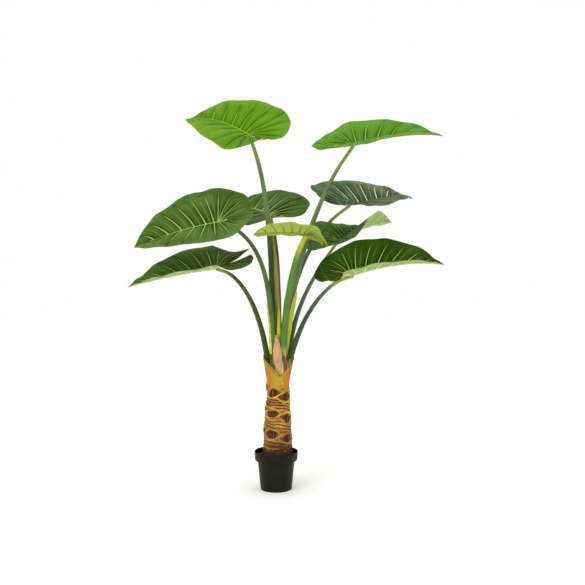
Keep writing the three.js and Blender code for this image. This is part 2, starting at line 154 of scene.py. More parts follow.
class Surface:
    """Grids of points that are merged where they meet and become one triangle mesh."""

    MERGE = 2e-7

    def __init__(self) -> None:
        """Starts with no grids."""
        self.points: list[Array] = []
        self.corners: list[Array] = []
        self.uvs: list[Array] = []
        self.values: dict[str, list[Array]] = {}
        self.count = 0

    def add(self, points: Array, uv: tuple[Array, Array], values: Mapping[str, Array | float],
            flip: bool = False, wrap: bool = False) -> None:
        """Adds one grid. Its faces point along the cross product of its first and second directions.

        Args:
            points: The grid's points, rows by columns by 3.
            uv: The two texture coordinates of each point.
            values: Named numbers of each point. Every grid of a surface gives the same names.
            flip: Whether the faces point the other way.
            wrap: Whether the last column joins the first, once round being 1 in the first coordinate.
        """
        rows, columns = points.shape[:2]
        uv = tuple(np.broadcast_to(part, (rows, columns)) for part in uv)
        values = {name: np.broadcast_to(value, (rows, columns)) for name, value in values.items()}
        if wrap:
            columns += 1
            points = np.concatenate([points, points[:, :1]], 1)
            uv = (np.concatenate([uv[0], uv[0][:, :1] + 1], 1), np.concatenate([uv[1], uv[1][:, :1]], 1))
            values = {name: np.concatenate([value, value[:, :1]], 1) for name, value in values.items()}
        index = self.count + np.arange(rows * columns).reshape(rows, columns)
        a, b, c, d = index[:-1, :-1], index[1:, :-1], index[1:, 1:], index[:-1, 1:]
        triangles = np.stack([np.stack([a, b, c], -1), np.stack([a, c, d], -1)]).reshape(-1, 3)
        self.corners.append(triangles[:, ::-1] if flip else triangles)
        self.points.append(points.reshape(-1, 3))
        self.uvs.append(np.stack(uv, -1).reshape(-1, 2))
        for name, value in values.items():
            self.values.setdefault(name, []).append(value.ravel())
        self.count += rows * columns

    def add_plate(self, front: Array, rear: Array, uv: tuple[Array, Array],
                  values: Mapping[str, Array]) -> None:
        """Adds a closed plate: two faces and a strip along each of its four edges.

        Args:
            front: The outer face's points. Their grid's cross product points to the rear face.
            rear: The inner face's points, on the same grid.
            uv: The texture coordinates of both faces.
            values: Named numbers of both faces.
        """
        self.add(front, uv, values, flip=True)
        self.add(rear, uv, values)
        for axis, end in ((0, 0), (0, -1), (1, 0), (1, -1)):
            cut = (end, slice(None)) if axis == 0 else (slice(None), end)
            strip = np.stack([front[cut], rear[cut]], 1)
            edge_uv = tuple(part[cut][:, None] for part in uv)
            edge_values = {name: value[cut][:, None] for name, value in values.items()}
            self.add(strip, edge_uv, edge_values, flip=(axis == 0) == (end == 0))

    def build(self, name: str) -> bpy.types.Object:
        """Makes the mesh object, at the origin, with smooth faces, a UV map and one attribute for each name.

        Args:
            name: The object's name.

        Returns:
            The new object, linked to the scene.
        """
        points, corners = np.concatenate(self.points), np.concatenate(self.corners)
        keys = np.round(points / self.MERGE).astype(np.int64)
        _, first, inverse = np.unique(keys, axis=0, return_index=True, return_inverse=True)
        faces = inverse.reshape(-1)[corners]
        whole = (faces[:, 0] != faces[:, 1]) & (faces[:, 1] != faces[:, 2]) & (faces[:, 0] != faces[:, 2])
        faces, corners = faces[whole], corners[whole]
        mesh = bpy.data.meshes.new(name)
        mesh.vertices.add(len(first))
        mesh.vertices.foreach_set("co", points[first].astype(np.float32).ravel())
        mesh.loops.add(faces.size)
        mesh.loops.foreach_set("vertex_index", faces.astype(np.int32).ravel())
        mesh.polygons.add(len(faces))
        mesh.polygons.foreach_set("loop_start", np.arange(0, faces.size, 3, dtype=np.int32))
        mesh.polygons.foreach_set("loop_total", np.full(len(faces), 3, np.int32))
        mesh.update(calc_edges=True)
        mesh.polygons.foreach_set("use_smooth", np.ones(len(faces), bool))
        layer = mesh.uv_layers.new(name="surface")
        layer.data.foreach_set("uv", np.concatenate(self.uvs)[corners].astype(np.float32).ravel())
        for key, parts in self.values.items():
            attribute = mesh.attributes.new(key, "FLOAT", "POINT")
            attribute.data.foreach_set("value", np.concatenate(parts)[first].astype(np.float32))
        mesh.validate()
        piece = bpy.data.objects.new(name, mesh)
        bpy.context.scene.collection.objects.link(piece)
        return piece


def settle(piece: bpy.types.Object, material: bpy.types.Material,
           nodes: Sequence[str] = ()) -> None:
    """Gives a piece its material, its body and the nodes that it stands for.

    Args:
        piece: The finished piece.
        material: What it is made of.
        nodes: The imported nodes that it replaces.
    """
    piece.data.materials.append(material)
    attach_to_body(piece, BODY)
    if nodes:
        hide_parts(*nodes)
    log.info("%s: %d triangles, %s", piece.name, len(piece.data.polygons), material.name)


# Shader maths


class Value:
    """A number that varies over a surface: one output socket, whose arithmetic adds Math nodes."""

    def __init__(self, graph: "Graph", socket: bpy.types.NodeSocket) -> None:
        """Wraps a socket of a graph."""
        self.graph = graph
        self.socket = socket

    def math(self, operation: str, *others: "Value | float") -> "Value":
        """One Math node on this value and others.

        Args:
            operation: The Math node's operation.
            others: Its second and third numbers.

        Returns:
            The node's result.
        """
        keys = ("Value", "Value_001", "Value_002")
        return self.graph.node("Math", {"operation": operation}, dict(zip(keys, (self, *others))))

    def __add__(self, other: "Value | float") -> "Value":
        """The sum."""
        return self.math("ADD", other)

    def __sub__(self, other: "Value | float") -> "Value":
        """The difference."""
        return self.math("SUBTRACT", other)

    def __rsub__(self, other: float) -> "Value":
        """A plain number less this value."""
        return self.math("MULTIPLY_ADD", -1.0, other)

    def __mul__(self, other: "Value | float") -> "Value":
        """The product."""
        return self.math("MULTIPLY", other)

    __radd__ = __add__
    __rmul__ = __mul__

    def step(self, low: float, high: float) -> "Value":
        """A smooth step from 0 at low to 1 at high."""
        ends = {"Value": self, "From Min": low, "From Max": high}
        return self.graph.node("MapRange", {"interpolation_type": "SMOOTHSTEP"}, ends)


class Paint:
    """A colour that varies over a surface."""

    def __init__(self, graph: "Graph", color: "str | bpy.types.NodeSocket") -> None:
        """Starts from a written colour or a colour socket."""
        self.graph = graph
        self.color = color

    def covered(self, color: "str | Paint", mask: Value) -> "Paint":
        """This colour with another over it where a mask is 1.

        Args:
            color: The colour on top.
            mask: How much it covers.

        Returns:
            The mixed colour.
        """
        top = color.color if isinstance(color, Paint) else color
        sockets = {"Factor_Float": mask, "A_Color": self.color, "B_Color": top}
        mixed = self.graph.node("Mix", {"data_type": "RGBA"}, sockets, "Result_Color")
        return Paint(self.graph, mixed.socket)


def rgba(code: str) -> tuple[float, float, float, float]:
    """A colour written as #rrggbb on a screen, turned into linear light with alpha 1."""
    parts = (int(code[k:k + 2], 16) / 255 for k in (1, 3, 5))
    return (*(p / 12.92 if p <= 0.04045 else ((p + 0.055) / 1.055) ** 2.4 for p in parts), 1.0)


class Graph:
    """A material's node tree around one Principled surface."""

    def __init__(self, name: str) -> None:
        """Starts a new material.

        Args:
            name: The material's name.
        """
        self.material = bpy.data.materials.new(name)
        self.material.use_nodes = True
        self.tree = self.material.node_tree
        self.surface = self.tree.nodes["Principled BSDF"]

    def put(self, socket: bpy.types.NodeSocket, value: Any) -> None:
        """Links or sets one input socket.

        Args:
            socket: The input.
            value: A value, a paint, a socket, a written colour or a plain number or vector.
        """
        if isinstance(value, Paint):
            value = value.color
        if isinstance(value, Value):
            value = value.socket
        if isinstance(value, bpy.types.NodeSocket):
            self.tree.links.new(value, socket)
        else:
            socket.default_value = rgba(value) if isinstance(value, str) else value

    def node(self, kind: str, settings: Mapping[str, Any] | None = None,
             sockets: Mapping[str, Any] | None = None, output: str = "") -> Value:
        """Adds one node.

        Args:
            kind: The node's type, without its ShaderNode prefix.
            settings: Its own properties, set first.
            sockets: Numbers, colours or links for its inputs, by identifier.
            output: The identifier of the output to read, or nothing for the first.

        Returns:
            The output that was asked for.
        """
        made = self.tree.nodes.new("ShaderNode" + kind)
        for key, value in (settings or {}).items():
            setattr(made, key, value)
        inputs = {socket.identifier: socket for socket in made.inputs}
        for key, value in (sockets or {}).items():
            self.put(inputs[key], value)
        outputs = {socket.identifier: socket for socket in made.outputs}
        return Value(self, outputs[output] if output else made.outputs[0])

    def attribute(self, name: str) -> Value:
        """A number that the mesh carries."""
        return self.node("Attribute", {"attribute_name": name}, output="Fac")

    def place(self, stretch: tuple[float, float, float] = (1.0, 1.0, 1.0)) -> Value:
        """The point's own place in metres, stretched along each axis."""
        here = self.node("TexCoord", output="Object")
        return self.node("Mapping", None, {"Vector": here, "Scale": stretch})

    def chart(self, stretch: tuple[float, float, float]) -> Value:
        """The piece's own UV place, stretched along each axis."""
        here = self.node("UVMap", {"uv_map": "surface"})
        return self.node("Mapping", None, {"Vector": here, "Scale": stretch})

    def around(self, across: float, lengthwise: float) -> Value:
        """A place on a tube without a seam: round it by cosine and sine, and along it as the UV map says.

        Args:
            across: How far the circle round the tube is stretched.
            lengthwise: How far a metre along it is stretched.

        Returns:
            The place.
        """
        here = self.node("UVMap", {"uv_map": "surface"})
        turn = self.node("SeparateXYZ", None, {"Vector": here}, "X") * (2 * math.pi)
        high = self.node("SeparateXYZ", None, {"Vector": here}, "Y") * lengthwise
        ring = {"X": turn.math("COSINE") * across, "Y": turn.math("SINE") * across, "Z": high}
        return self.node("CombineXYZ", None, ring)

    def noise(self, where: Value, scale: float, detail: float = 3.0, roughness: float = 0.55) -> Value:
        """Cloudy noise from 0 to 1.

        Args:
            where: The place to read it at.
            scale: Lumps to the unit of length.
            detail: How many finer layers it has.
            roughness: How strong the finer layers are.

        Returns:
            The noise.
        """
        sockets = {"Vector": where, "Scale": scale, "Detail": detail, "Roughness": roughness}
        return self.node("TexNoise", None, sockets)

    def cells(self, where: Value, scale: float) -> Value:
        """The distance to the edge of a cell pattern, 0 on the lines between the cells."""
        settings = {"feature": "DISTANCE_TO_EDGE"}
        return self.node("TexVoronoi", settings, {"Vector": where, "Scale": scale}, "Distance")

    def finish(self, color: Paint, roughness: "Value | float", relief: Value, depth: float,
               gloss: float = 0.5) -> bpy.types.Material:
        """Joins the parts of a finish at the surface.

        Args:
            color: The base colour.
            roughness: How rough it is.
            relief: Heights for its fine relief, from 0 to 1.
            depth: How deep that relief is, in metres.
            gloss: How strong its reflections are, the same all over.

        Returns:
            The finished material.
        """
        self.put(self.surface.inputs["Base Color"], color)
        self.put(self.surface.inputs["Roughness"], roughness)
        normal = self.node("Bump", None, {"Height": relief, "Distance": depth, "Strength": 1.0})
        self.put(self.surface.inputs["Normal"], normal)
        self.surface.inputs["Specular IOR Level"].default_value = gloss
        return self.material


# Leaf blades


@dataclass(frozen=True)
class LeafFinish:
    """The colours of a blade's two faces and how glossy it is."""

    name: str
    slot: str
    # light: painted light on the swells between the veins; on the face below, a paler random mottle
    light: str
    # deep: painted shade in the valleys by the veins and beside the midrib; it also darkens the fine net
    deep: str
    vein: str
    # The sheen colour is a painted highlight in blotches, more of it towards the edge; it also makes the
    # greyer line along the edge
    painted_sheen: str
    under: str = "#97b266"
    under_vein: str = "#bccc92"
    tip: str = ""
    rough: float = 0.5
    gloss: float = 0.03
    contrast: float = 0.75
    vein_end: float = 0.95

    def material(self) -> bpy.types.Material:
        """Pale veins in valleys darkened with painted shade, painted shade beside the midrib, swells between
        the veins and towards the edge lightened with painted light, a painted sheen towards the edge, a
        greyer edge, and a paler face below.

        Returns:
            The material, made once for each finish.
        """
        if self.name in bpy.data.materials:
            return bpy.data.materials[self.name]
        graph = Graph(self.name)
        upper, edge = graph.attribute("upper"), graph.attribute("edge")
        vein, rib, twig = (graph.attribute(key) for key in ("vein", "rib", "twig"))
        blotch = graph.noise(graph.place(), 11.0, 3.0)
        mottle = graph.noise(graph.place(), 70.0, 4.0, 0.65)
        net = graph.cells(graph.chart((9.0, 22.0, 1.0)), 1.0)
        fibre = graph.noise(graph.chart((16.0, 2.0, 1.0)), 1.0, 4.0, 0.6)
        mesh = 1.0 - net.step(0.0, 0.12)
        lines = (1.0 - vein.step(0.7, 1.7)) * (1.0 - edge.step(self.vein_end - 0.4, self.vein_end))
        twigs = (1.0 - twig.step(0.5, 1.6)) * (1.0 - edge.step(0.5, 0.9)) * 0.4
        pale = lines.math("MAXIMUM", 1.0 - rib.step(0.8, 1.5)).math("MAXIMUM", twigs) * self.contrast
        # Painted light on the swells between the veins and towards the edge, and painted shade in the valleys
        # by the veins, mixed with random mottle
        swell = vein.step(1.5, 9.0) * 0.55 + edge * 0.2
        painted_light_and_mottle = (swell + fibre * 0.6 + mottle * 0.3 + blotch * 0.6 - 0.7).step(0.0, 0.75)
        tissue = Paint(graph, self.deep).covered(self.light, painted_light_and_mottle)
        # Painted highlight: the sheen colour in blotches, more of it towards the edge
        tissue = tissue.covered(self.painted_sheen, (blotch + fibre * 0.5 + edge * 0.2).step(0.75, 1.15) * 0.8)
        # Painted shade in a band beside the midrib's groove; the fine net is darkened as well
        tissue = tissue.covered(self.deep, mesh * 0.25 + (1.0 - rib.step(1.6, 5.0)) * 0.5)
        # A greyer line along the edge, in the sheen colour
        tissue = tissue.covered(self.painted_sheen, edge.step(0.97, 0.995) * 0.6)
        top = tissue.covered(self.vein, pale)
        if self.tip:
            ahead = graph.attribute("tip")
            top = top.covered(self.tip, (ahead + (blotch - 0.5) * 0.1).step(0.82, 0.90))
        # On the face below this is only random mottle, with no painted light
        painted_light_and_mottle = (mottle * 0.5 + fibre * 0.5).step(0.4, 0.8) * 0.35
        ridges = (1.0 - vein.step(0.9, 2.2)).math("MAXIMUM", 1.0 - rib.step(0.9, 2.5))
        below = Paint(graph, self.under).covered(self.light, painted_light_and_mottle).covered(self.under_vein, ridges)
        color = below.covered(top, upper.step(0.3, 0.7))
        rough = self.rough + (mottle - 0.5) * 0.18 + (1.0 - upper) * 0.1
        relief = net.step(0.0, 0.2) * 0.4 + mottle * 0.3 + fibre * 0.3
        return graph.finish(color, rough, relief, 0.0008, self.gloss)


BRIGHT = LeafFinish("bright_leaf", "leaf_bright", "#507c04", "#335a02", "#93bd30", "#5f8e18", contrast=0.6,
                    vein_end=0.75)
FRESH = LeafFinish("fresh_leaf", "leaf_bright", "#4a7a0e", "#2c5606", "#8ab43c", "#568a22", under="#84a83e",
                    under_vein="#a0bc5c", contrast=0.65)
MIDDLE = LeafFinish("middle_leaf", "leaf_dark", "#42601c", "#243d0a", "#a9c060", "#587636", contrast=0.85)
DEEP = LeafFinish("deep_leaf", "leaf_dark", "#385410", "#1e3404", "#9cb65a", "#4e6a26", contrast=0.85)
REAR = LeafFinish("rear_leaf", "leaf_dark", "#3c5618", "#1e3606", "#a2ba62", "#4e6a2c", contrast=0.9)
SHADED = LeafFinish("shaded_leaf", "leaf_dark", "#4a6a22", "#2a430e", "#8fac50", "#5f7c34")
NEAR = LeafFinish("near_leaf", "leaf_dark", "#2c4806", "#162a02", "#a3bc5c", "#3a5a10", contrast=0.85)
GREYED = LeafFinish("greyed_leaf", "leaf_dark", "#3c5426", "#12260a", "#e0e8c8", "#687c50", under="#647a56",
                    under_vein="#a9bc90", tip="#8aa434", rough=0.42, gloss=0.06, contrast=1.0)
# The young leaf's veins, above and below, are darker than its tissue: painted shade along its pleats
YOUNG = LeafFinish("young_leaf", "leaf_young", "#8c9c34", "#66782a", "#5c701e", "#a8b654", under="#a9ba52",
                   under_vein="#7a8a28", contrast=0.7)


@dataclass(frozen=True)
class LeafShape:
    """How one leaf is placed and bent. Angles are in degrees, and pairs are (left, right)."""

    attach: tuple[float, float, float]
    heading: float
    pitch: float
    roll: float
    length: float
    breadth: float
    droop: float
    hook: float
    lobe_droop: tuple[float, float]
    fold: tuple[float, float]
    curl: tuple[float, float]
    foot: tuple[float, float]
    lower: tuple[float, float, float]
    upper: tuple[float, float, float]
    radii: tuple[float, float, float, float]
    lobe_fold: tuple[float, float] = (0.0, 0.0)
    twist: float = 0.0
    blunt: float = 0.0
    quilt: float = 5 * MM

    def directions(self) -> tuple[Array, Array, Array]:
        """The leaf's own directions: towards the tip, to the left, and out of the upper face.

        Returns:
            Three unit vectors.
        """
        heading, pitch, roll = np.radians([self.heading, self.pitch, self.roll])
        flat = math.cos(pitch)
        on = np.array([flat * math.cos(heading), flat * math.sin(heading), math.sin(pitch)])
        level = np.array([-math.sin(heading), math.cos(heading), 0.0])
        left = math.cos(roll) * level + math.sin(roll) * np.cross(on, level)
        return on, left, np.cross(on, left)


@dataclass(frozen=True)
class LeafBlade:
    """A heart-shaped blade with its veins, built on a grid of vein number by distance from the midrib."""

    name: str
    shape: LeafShape
    finish: LeafFinish
    wave: float = 2 * MM
    ripple: float = 2.4 * MM
    swell: float = 2.5 * MM
    thickness: float = 1.1 * MM
    keel: float = 5 * MM
    keel_width: float = 3.5 * MM
    groove: float = 0.7 * MM
    rib_groove: float = 0.4 * MM
    ridge: float = 1.1 * MM
    seed: int = 1

    VEINS = 11
    STALK_VEIN = 7
    LOBE_END = 0.42
    HALF_BREADTH = 0.49
    VEIN_BOW = 0.1
    VEINS_ROUND = 24
    STEPS_PER_VEIN = 14
    ROWS = 34
    EVEN_SHARE = 0.35
    LINE_START = -0.45
    LINE_STEPS = 581
    QUILT_POWER = 0.8
    BLUNT_REACH = 2.2
    TWIG_WIDTH = 0.8 * MM
    FARTHEST = 12.0
    OUTLINE = np.array([
        [1, 0], [0.9, 0.075], [0.78, 0.18], [0.63, 0.29], [0.46, 0.385], [0.28, 0.455], [0.09, 0.49],
        [-0.1, 0.475], [-0.265, 0.4], [-0.385, 0.275], [-0.42, 0.15], [-0.34, 0.055], [-0.1, 0.02],
    ])
    VEIN_ROOTS = np.array([1, 0.76, 0.58, 0.42, 0.27, 0.14, 0.045, 0, 0, 0, 0, 0, 0])

    def bent_line(self, side: int, ahead: Array) -> tuple[Array, Array, Array]:
        """The bent line along the blade: its slope angle added up from the stalk outwards.

        The angle grows evenly with the droop and by the cube with the hook towards the tip, and evenly with
        the lobe's droop towards the cleft.

        Args:
            side: 0 on the left and 1 on the right.
            ahead: Places along the blade, in leaf lengths from the stalk.

        Returns:
            How far on, how far up, in metres, and the slope angle there.
        """
        at = np.linspace(self.LINE_START, 1.0, self.LINE_STEPS)
        shape = self.shape
        forward = -np.radians(shape.droop * at + shape.hook * at**3)
        backward = -math.radians(shape.lobe_droop[side]) * at / self.LOBE_END
        angle = np.where(at > 0, forward, backward)
        gap = at[1] - at[0]
        on = np.concatenate([[0], np.cumsum(np.cos((angle[1:] + angle[:-1]) / 2))]) * gap
        up = np.concatenate([[0], np.cumsum(np.sin((angle[1:] + angle[:-1]) / 2))]) * gap
        on, up = on - np.interp(0, at, on), up - np.interp(0, at, up)
        return (shape.length * np.interp(ahead, at, on), shape.length * np.interp(ahead, at, up),
                np.interp(ahead, at, angle))

    def middle(self, side: int, vein: Array, t: Array) -> tuple[Array, Array, Array, Array]:
        """The blade's middle surface.

        Each vein runs from its root on the midrib to the outline, bowed a little. The half is folded up
        from the midrib, curls down towards its edge on a circle, waves once for every two veins, and is
        quilted between the veins by a power of a sine. Towards the tip it twists as a whole.

        Args:
            side: 0 on the left and 1 on the right.
            vein: Vein number, from 0 at the tip to the cleft.
            t: 0 on the midrib and 1 on the edge.

        Returns:
            The points, the outward directions, and the flat places ahead and aside, in metres.
        """
        shape, sign = self.shape, 1 if side == 0 else -1
        end_ahead = spline(self.OUTLINE[:, 0], vein)
        end_aside = np.maximum(spline(self.OUTLINE[:, 1], vein), 0)
        end_aside = end_aside * (1 + shape.blunt * hump(vein, 0, self.BLUNT_REACH))
        root = np.maximum(spline(self.VEIN_ROOTS, vein), 0)
        ahead = root + t * (end_ahead - root) + self.VEIN_BOW * (t * t - t) * np.clip(end_ahead, 0, 1)
        aside = t * end_aside * shape.length * shape.breadth
        on, up, angle = self.bent_line(side, ahead)
        half = self.HALF_BREADTH * shape.length
        opened = shape.lobe_fold[side] * np.clip(-ahead / self.LOBE_END, 0, 1)
        fold, curl = np.radians(shape.fold[side] - opened), math.radians(shape.curl[side])
        turned = fold - curl * aside / half
        across = half / curl * (np.sin(fold) - np.sin(turned))
        from_tip, round_leaf = np.minimum(1, vein), vein / self.VEINS_ROUND + 0.5 * side
        wave = self.wave * np.sin(math.pi * vein + sign) * t**3 * from_tip
        ripple = self.ripple * cloud(round_leaf, t, (44, 3), self.seed) * t**2 * from_tip
        swell = self.swell * cloud(round_leaf, t, (9, 2), self.seed + 7) * step(0.05, 0.4, t) * from_tip
        quilt = shape.quilt * np.abs(np.sin(math.pi * vein)) ** self.QUILT_POWER * 4 * t * (1 - t)
        lift = half / curl * (np.cos(turned) - np.cos(fold)) + wave + ripple + swell + quilt
        twist = math.radians(shape.twist) * np.clip(ahead, 0, 1)
        leftward = sign * across * np.cos(twist) - lift * np.sin(twist)
        outward = sign * across * np.sin(twist) + lift * np.cos(twist)
        way, left, out = shape.directions()
        points = (np.array(shape.attach) + (on - outward * np.sin(angle))[..., None] * way
                  + leftward[..., None] * left + (up + outward * np.cos(angle))[..., None] * out)
        lean = sign * turned * step(0, 0.06, t) * from_tip + twist
        raised = np.cos(angle)[..., None] * out - np.sin(angle)[..., None] * way
        normals = np.cos(lean)[..., None] * raised - np.sin(lean)[..., None] * left
        return points, normals, ahead * shape.length, aside

    def relief(self, vein: Array, t: Array, vein_gap: Array, rib_gap: Array, ahead: Array,
               aside: Array) -> tuple[Array, Array]:
        """How far each face stands off the middle surface: veins sink into the top and stand out below.

        Each vein is a bell across its own width that fades towards the edge, and the midrib below is a
        taller bell. All of it fades out at the tip, where the faces meet in one point each.

        Args:
            vein: Vein number.
            t: 0 on the midrib and 1 on the edge.
            vein_gap: Distance to the nearest vein, in half widths of its line.
            rib_gap: Distance to the midrib, in half widths of its line.
            ahead: Place along the blade, in metres from the stalk.
            aside: Distance from the midrib, in metres.

        Returns:
            The offsets of the top and of the bottom face.
        """
        from_tip = step(0, 0.5, vein)
        half = self.thickness / 2 * (1 - 0.35 * t**6 * from_tip)
        fade = np.sqrt(np.clip(1 - t, 0, 1)) * step(0, 0.025, t) * from_tip
        groove = self.groove * hump(vein_gap, 0, 1.6) * fade
        groove = groove + self.rib_groove * hump(rib_gap, 1.6, 0.7) * from_tip
        ridge = self.ridge * hump(vein_gap, 0, 1.2) * fade
        keel = self.keel * hump(aside, 0, self.keel_width) * np.minimum(1, vein / self.STALK_VEIN)
        keel = keel * from_tip * step(-8 * MM, 0, ahead)
        return half - groove, half + ridge + keel

    def build(self) -> None:
        """Builds the blade: both faces of both halves, their rounded edge, and the cleft's edge.

        The grid's steps across are closer at the midrib and at the edge: partly even, partly by a cosine.
        """
        surface = Surface()
        s = np.linspace(0, 1, self.ROWS)
        eased = 0.5 - 0.5 * np.cos(math.pi * s)
        vein, t = grid(np.linspace(0, self.VEINS, self.VEINS * self.STEPS_PER_VEIN + 1),
                       self.EVEN_SHARE * s + (1 - self.EVEN_SHARE) * eased)
        for side in (0, 1):
            points, normals, ahead, aside = self.middle(side, vein, t)
            along, across = np.gradient(points, axis=0), unit(np.gradient(points, axis=1))
            spacing = along - np.sum(along * across, -1, keepdims=True) * across
            spacing = np.linalg.norm(spacing, axis=-1) * self.STEPS_PER_VEIN
            along[-1, -1] = across[-1, -1] = unit(along[-1, -1]) + across[-1, -1]
            nearest = np.clip(np.round(vein), 1, self.VEINS - 1)
            vein_gap = np.abs(vein - nearest) * spacing / ((2.0 - 1.3 * t) * MM)
            twig_gap = np.abs(np.mod(vein, 1) - 0.5) * spacing / self.TWIG_WIDTH
            rib_width = (2.2 - 1.4 * np.clip(ahead / self.shape.length, 0, 1)) * MM
            rib_gap = np.hypot(np.minimum(ahead, 0), aside) / rib_width
            above, below = self.relief(vein, t, vein_gap, rib_gap, ahead, aside)
            top, bottom = points + above[..., None] * normals, points - below[..., None] * normals
            gaps = {"vein": vein_gap, "twig": twig_gap, "rib": rib_gap}
            common = {key: np.minimum(gap, self.FARTHEST) for key, gap in gaps.items()}
            common |= {"edge": t, "tip": ahead / self.shape.length}
            uv = (vein + 20 * side, t)
            surface.add(top, uv, {"upper": 1.0, **common}, flip=side == 0)
            surface.add(bottom, uv, {"upper": 0.0, **common}, flip=side == 1)
            margin, cleft = (slice(None), -1), (-1, slice(None))
            for cut, away, flip in ((margin, across, side == 0), (cleft, along, side == 1)):
                common_cut = {key: value[cut][:, None] for key, value in common.items()}
                uv_cut = (uv[0][cut][:, None], uv[1][cut][:, None])
                self.add_rim(surface, top[cut], bottom[cut], unit(away[cut]), uv_cut, common_cut, flip)
        piece = surface.build(f"leaf_{self.name}")
        settle(piece, self.finish.material(), [f"blade_{self.name}"])

    def add_rim(self, surface: Surface, top: Array, bottom: Array, away: Array, uv: tuple[Array, Array],
                common: Mapping[str, Array], flip: bool) -> None:
        """Closes one edge with a strip: half a circle from the top face's edge to the bottom face's.

        Args:
            surface: The surface to add to.
            top: The top face's edge.
            bottom: The bottom face's edge.
            away: The directions out of the blade along that edge.
            uv: The edge's texture coordinates.
            common: The edge's named numbers.
            flip: Whether the strip's faces point the other way.
        """
        turn = np.linspace(0, math.pi, 4)
        middle, reach = (top + bottom) / 2, (top - bottom) / 2
        bulge = np.linalg.norm(reach, axis=-1, keepdims=True) * away
        between = [middle + math.cos(a) * reach + math.sin(a) * bulge for a in turn[1:-1]]
        rows = np.stack([top, *between, bottom], 1)
        surface.add(rows, uv, {"upper": (1 - turn / math.pi)[None, :], **common}, flip)


LEAVES = {
    "top_left": LeafShape(
        (-0.100, -0.030, 1.371), 144, 26, -28, 0.345, 1.02, 26, 12, (-50, -20), (20, 20), (15, 15),
        (-0.0025, 0.004), (-0.014, 0.0, 0.800), (-0.012, -0.020, 1.170), (0.0112, 0.0135, 0.011, 0.0062),
        lobe_fold=(5, 0), blunt=0.5, quilt=6 * MM),
    "top_right": LeafShape(
        (0.292, 0.0, 1.332), 4, 15, 16, 0.355, 1.0, 14, 10, (-10, -40), (23, 22), (15, 15),
        (0.021, 0.0), (0.046, 0.0, 0.781), (0.130, 0.0, 1.107), (0.0112, 0.013, 0.0105, 0.006),
        lobe_fold=(15, 0)),
    "front_young": LeafShape(
        (0.114, -0.130, 1.001), -160, 10, 8, 0.208, 1.05, 18, 4, (30, 42), (22, 10), (25, 15),
        (0.024, -0.0305), (0.031, -0.040, 0.709), (0.060, -0.105, 0.900), (0.0112, 0.014, 0.013, 0.0085),
        lobe_fold=(40, -10), twist=14, blunt=1.5, quilt=4 * MM),
    "back": LeafShape(
        (-0.027, 0.165, 1.068), 135, 17, -24, 0.345, 1.0, 38, 10, (-40, -15), (20, 12), (15, 15),
        (0.0015, 0.0325), (0.019, 0.050, 0.738), (0.008, 0.130, 0.968), (0.0112, 0.0125, 0.009, 0.006),
        blunt=0.4),
    "middle_left": LeafShape(
        (-0.212, -0.120, 1.046), 188, -10, -30, 0.325, 1.12, 16, 0, (-20, 3), (20, 22), (15, 15),
        (-0.010, -0.027), (-0.012, -0.040, 0.785), (-0.030, -0.110, 1.001), (0.0112, 0.0125, 0.009, 0.006),
        lobe_fold=(-5, 0), blunt=0.6, quilt=6 * MM),
    "lower_left": LeafShape(
        (-0.225, -0.030, 0.868), 186, -8, -10, 0.345, 0.96, 8, 0, (-35, -40), (25, 28), (15, 15),
        (-0.023, -0.008), (-0.053, -0.010, 0.705), (-0.125, -0.030, 0.845), (0.0112, 0.012, 0.009, 0.0063),
        lobe_fold=(30, 35)),
    "lower_right": LeafShape(
        (0.288, -0.100, 0.847), -12, 19, 18, 0.345, 1.0, 22, 6, (5, -95), (32, 34), (15, 15),
        (0.041, -0.0125), (0.082, -0.020, 0.665), (0.175, -0.080, 0.816), (0.0112, 0.0115, 0.0082, 0.006),
        lobe_fold=(0, 30)),
    "right_rear": LeafShape(
        (0.247, 0.200, 0.963), 28, 24, 26, 0.285, 1.0, 22, 5, (15, -10), (14, 40), (15, 15),
        (0.041, 0.0125), (0.058, 0.030, 0.700), (0.128, 0.140, 0.791), (0.0112, 0.0115, 0.008, 0.0056),
        twist=-60),
    "middle_right": LeafShape(
        (0.288, 0.120, 1.105), 40, 9, 17, 0.365, 1.0, 8, 8, (-30, -40), (20, 24), (15, 15),
        (0.0255, 0.0295), (0.035, 0.040, 0.777), (0.117, 0.100, 0.988), (0.0112, 0.012, 0.009, 0.0056),
        quilt=8 * MM),
}
LEAF_FINISHES = {
    "top_left": BRIGHT, "top_right": FRESH, "front_young": YOUNG, "back": REAR, "middle_left": MIDDLE,
    "lower_left": DEEP, "lower_right": NEAR, "right_rear": SHADED, "middle_right": GREYED,
}


# Leaf stalks


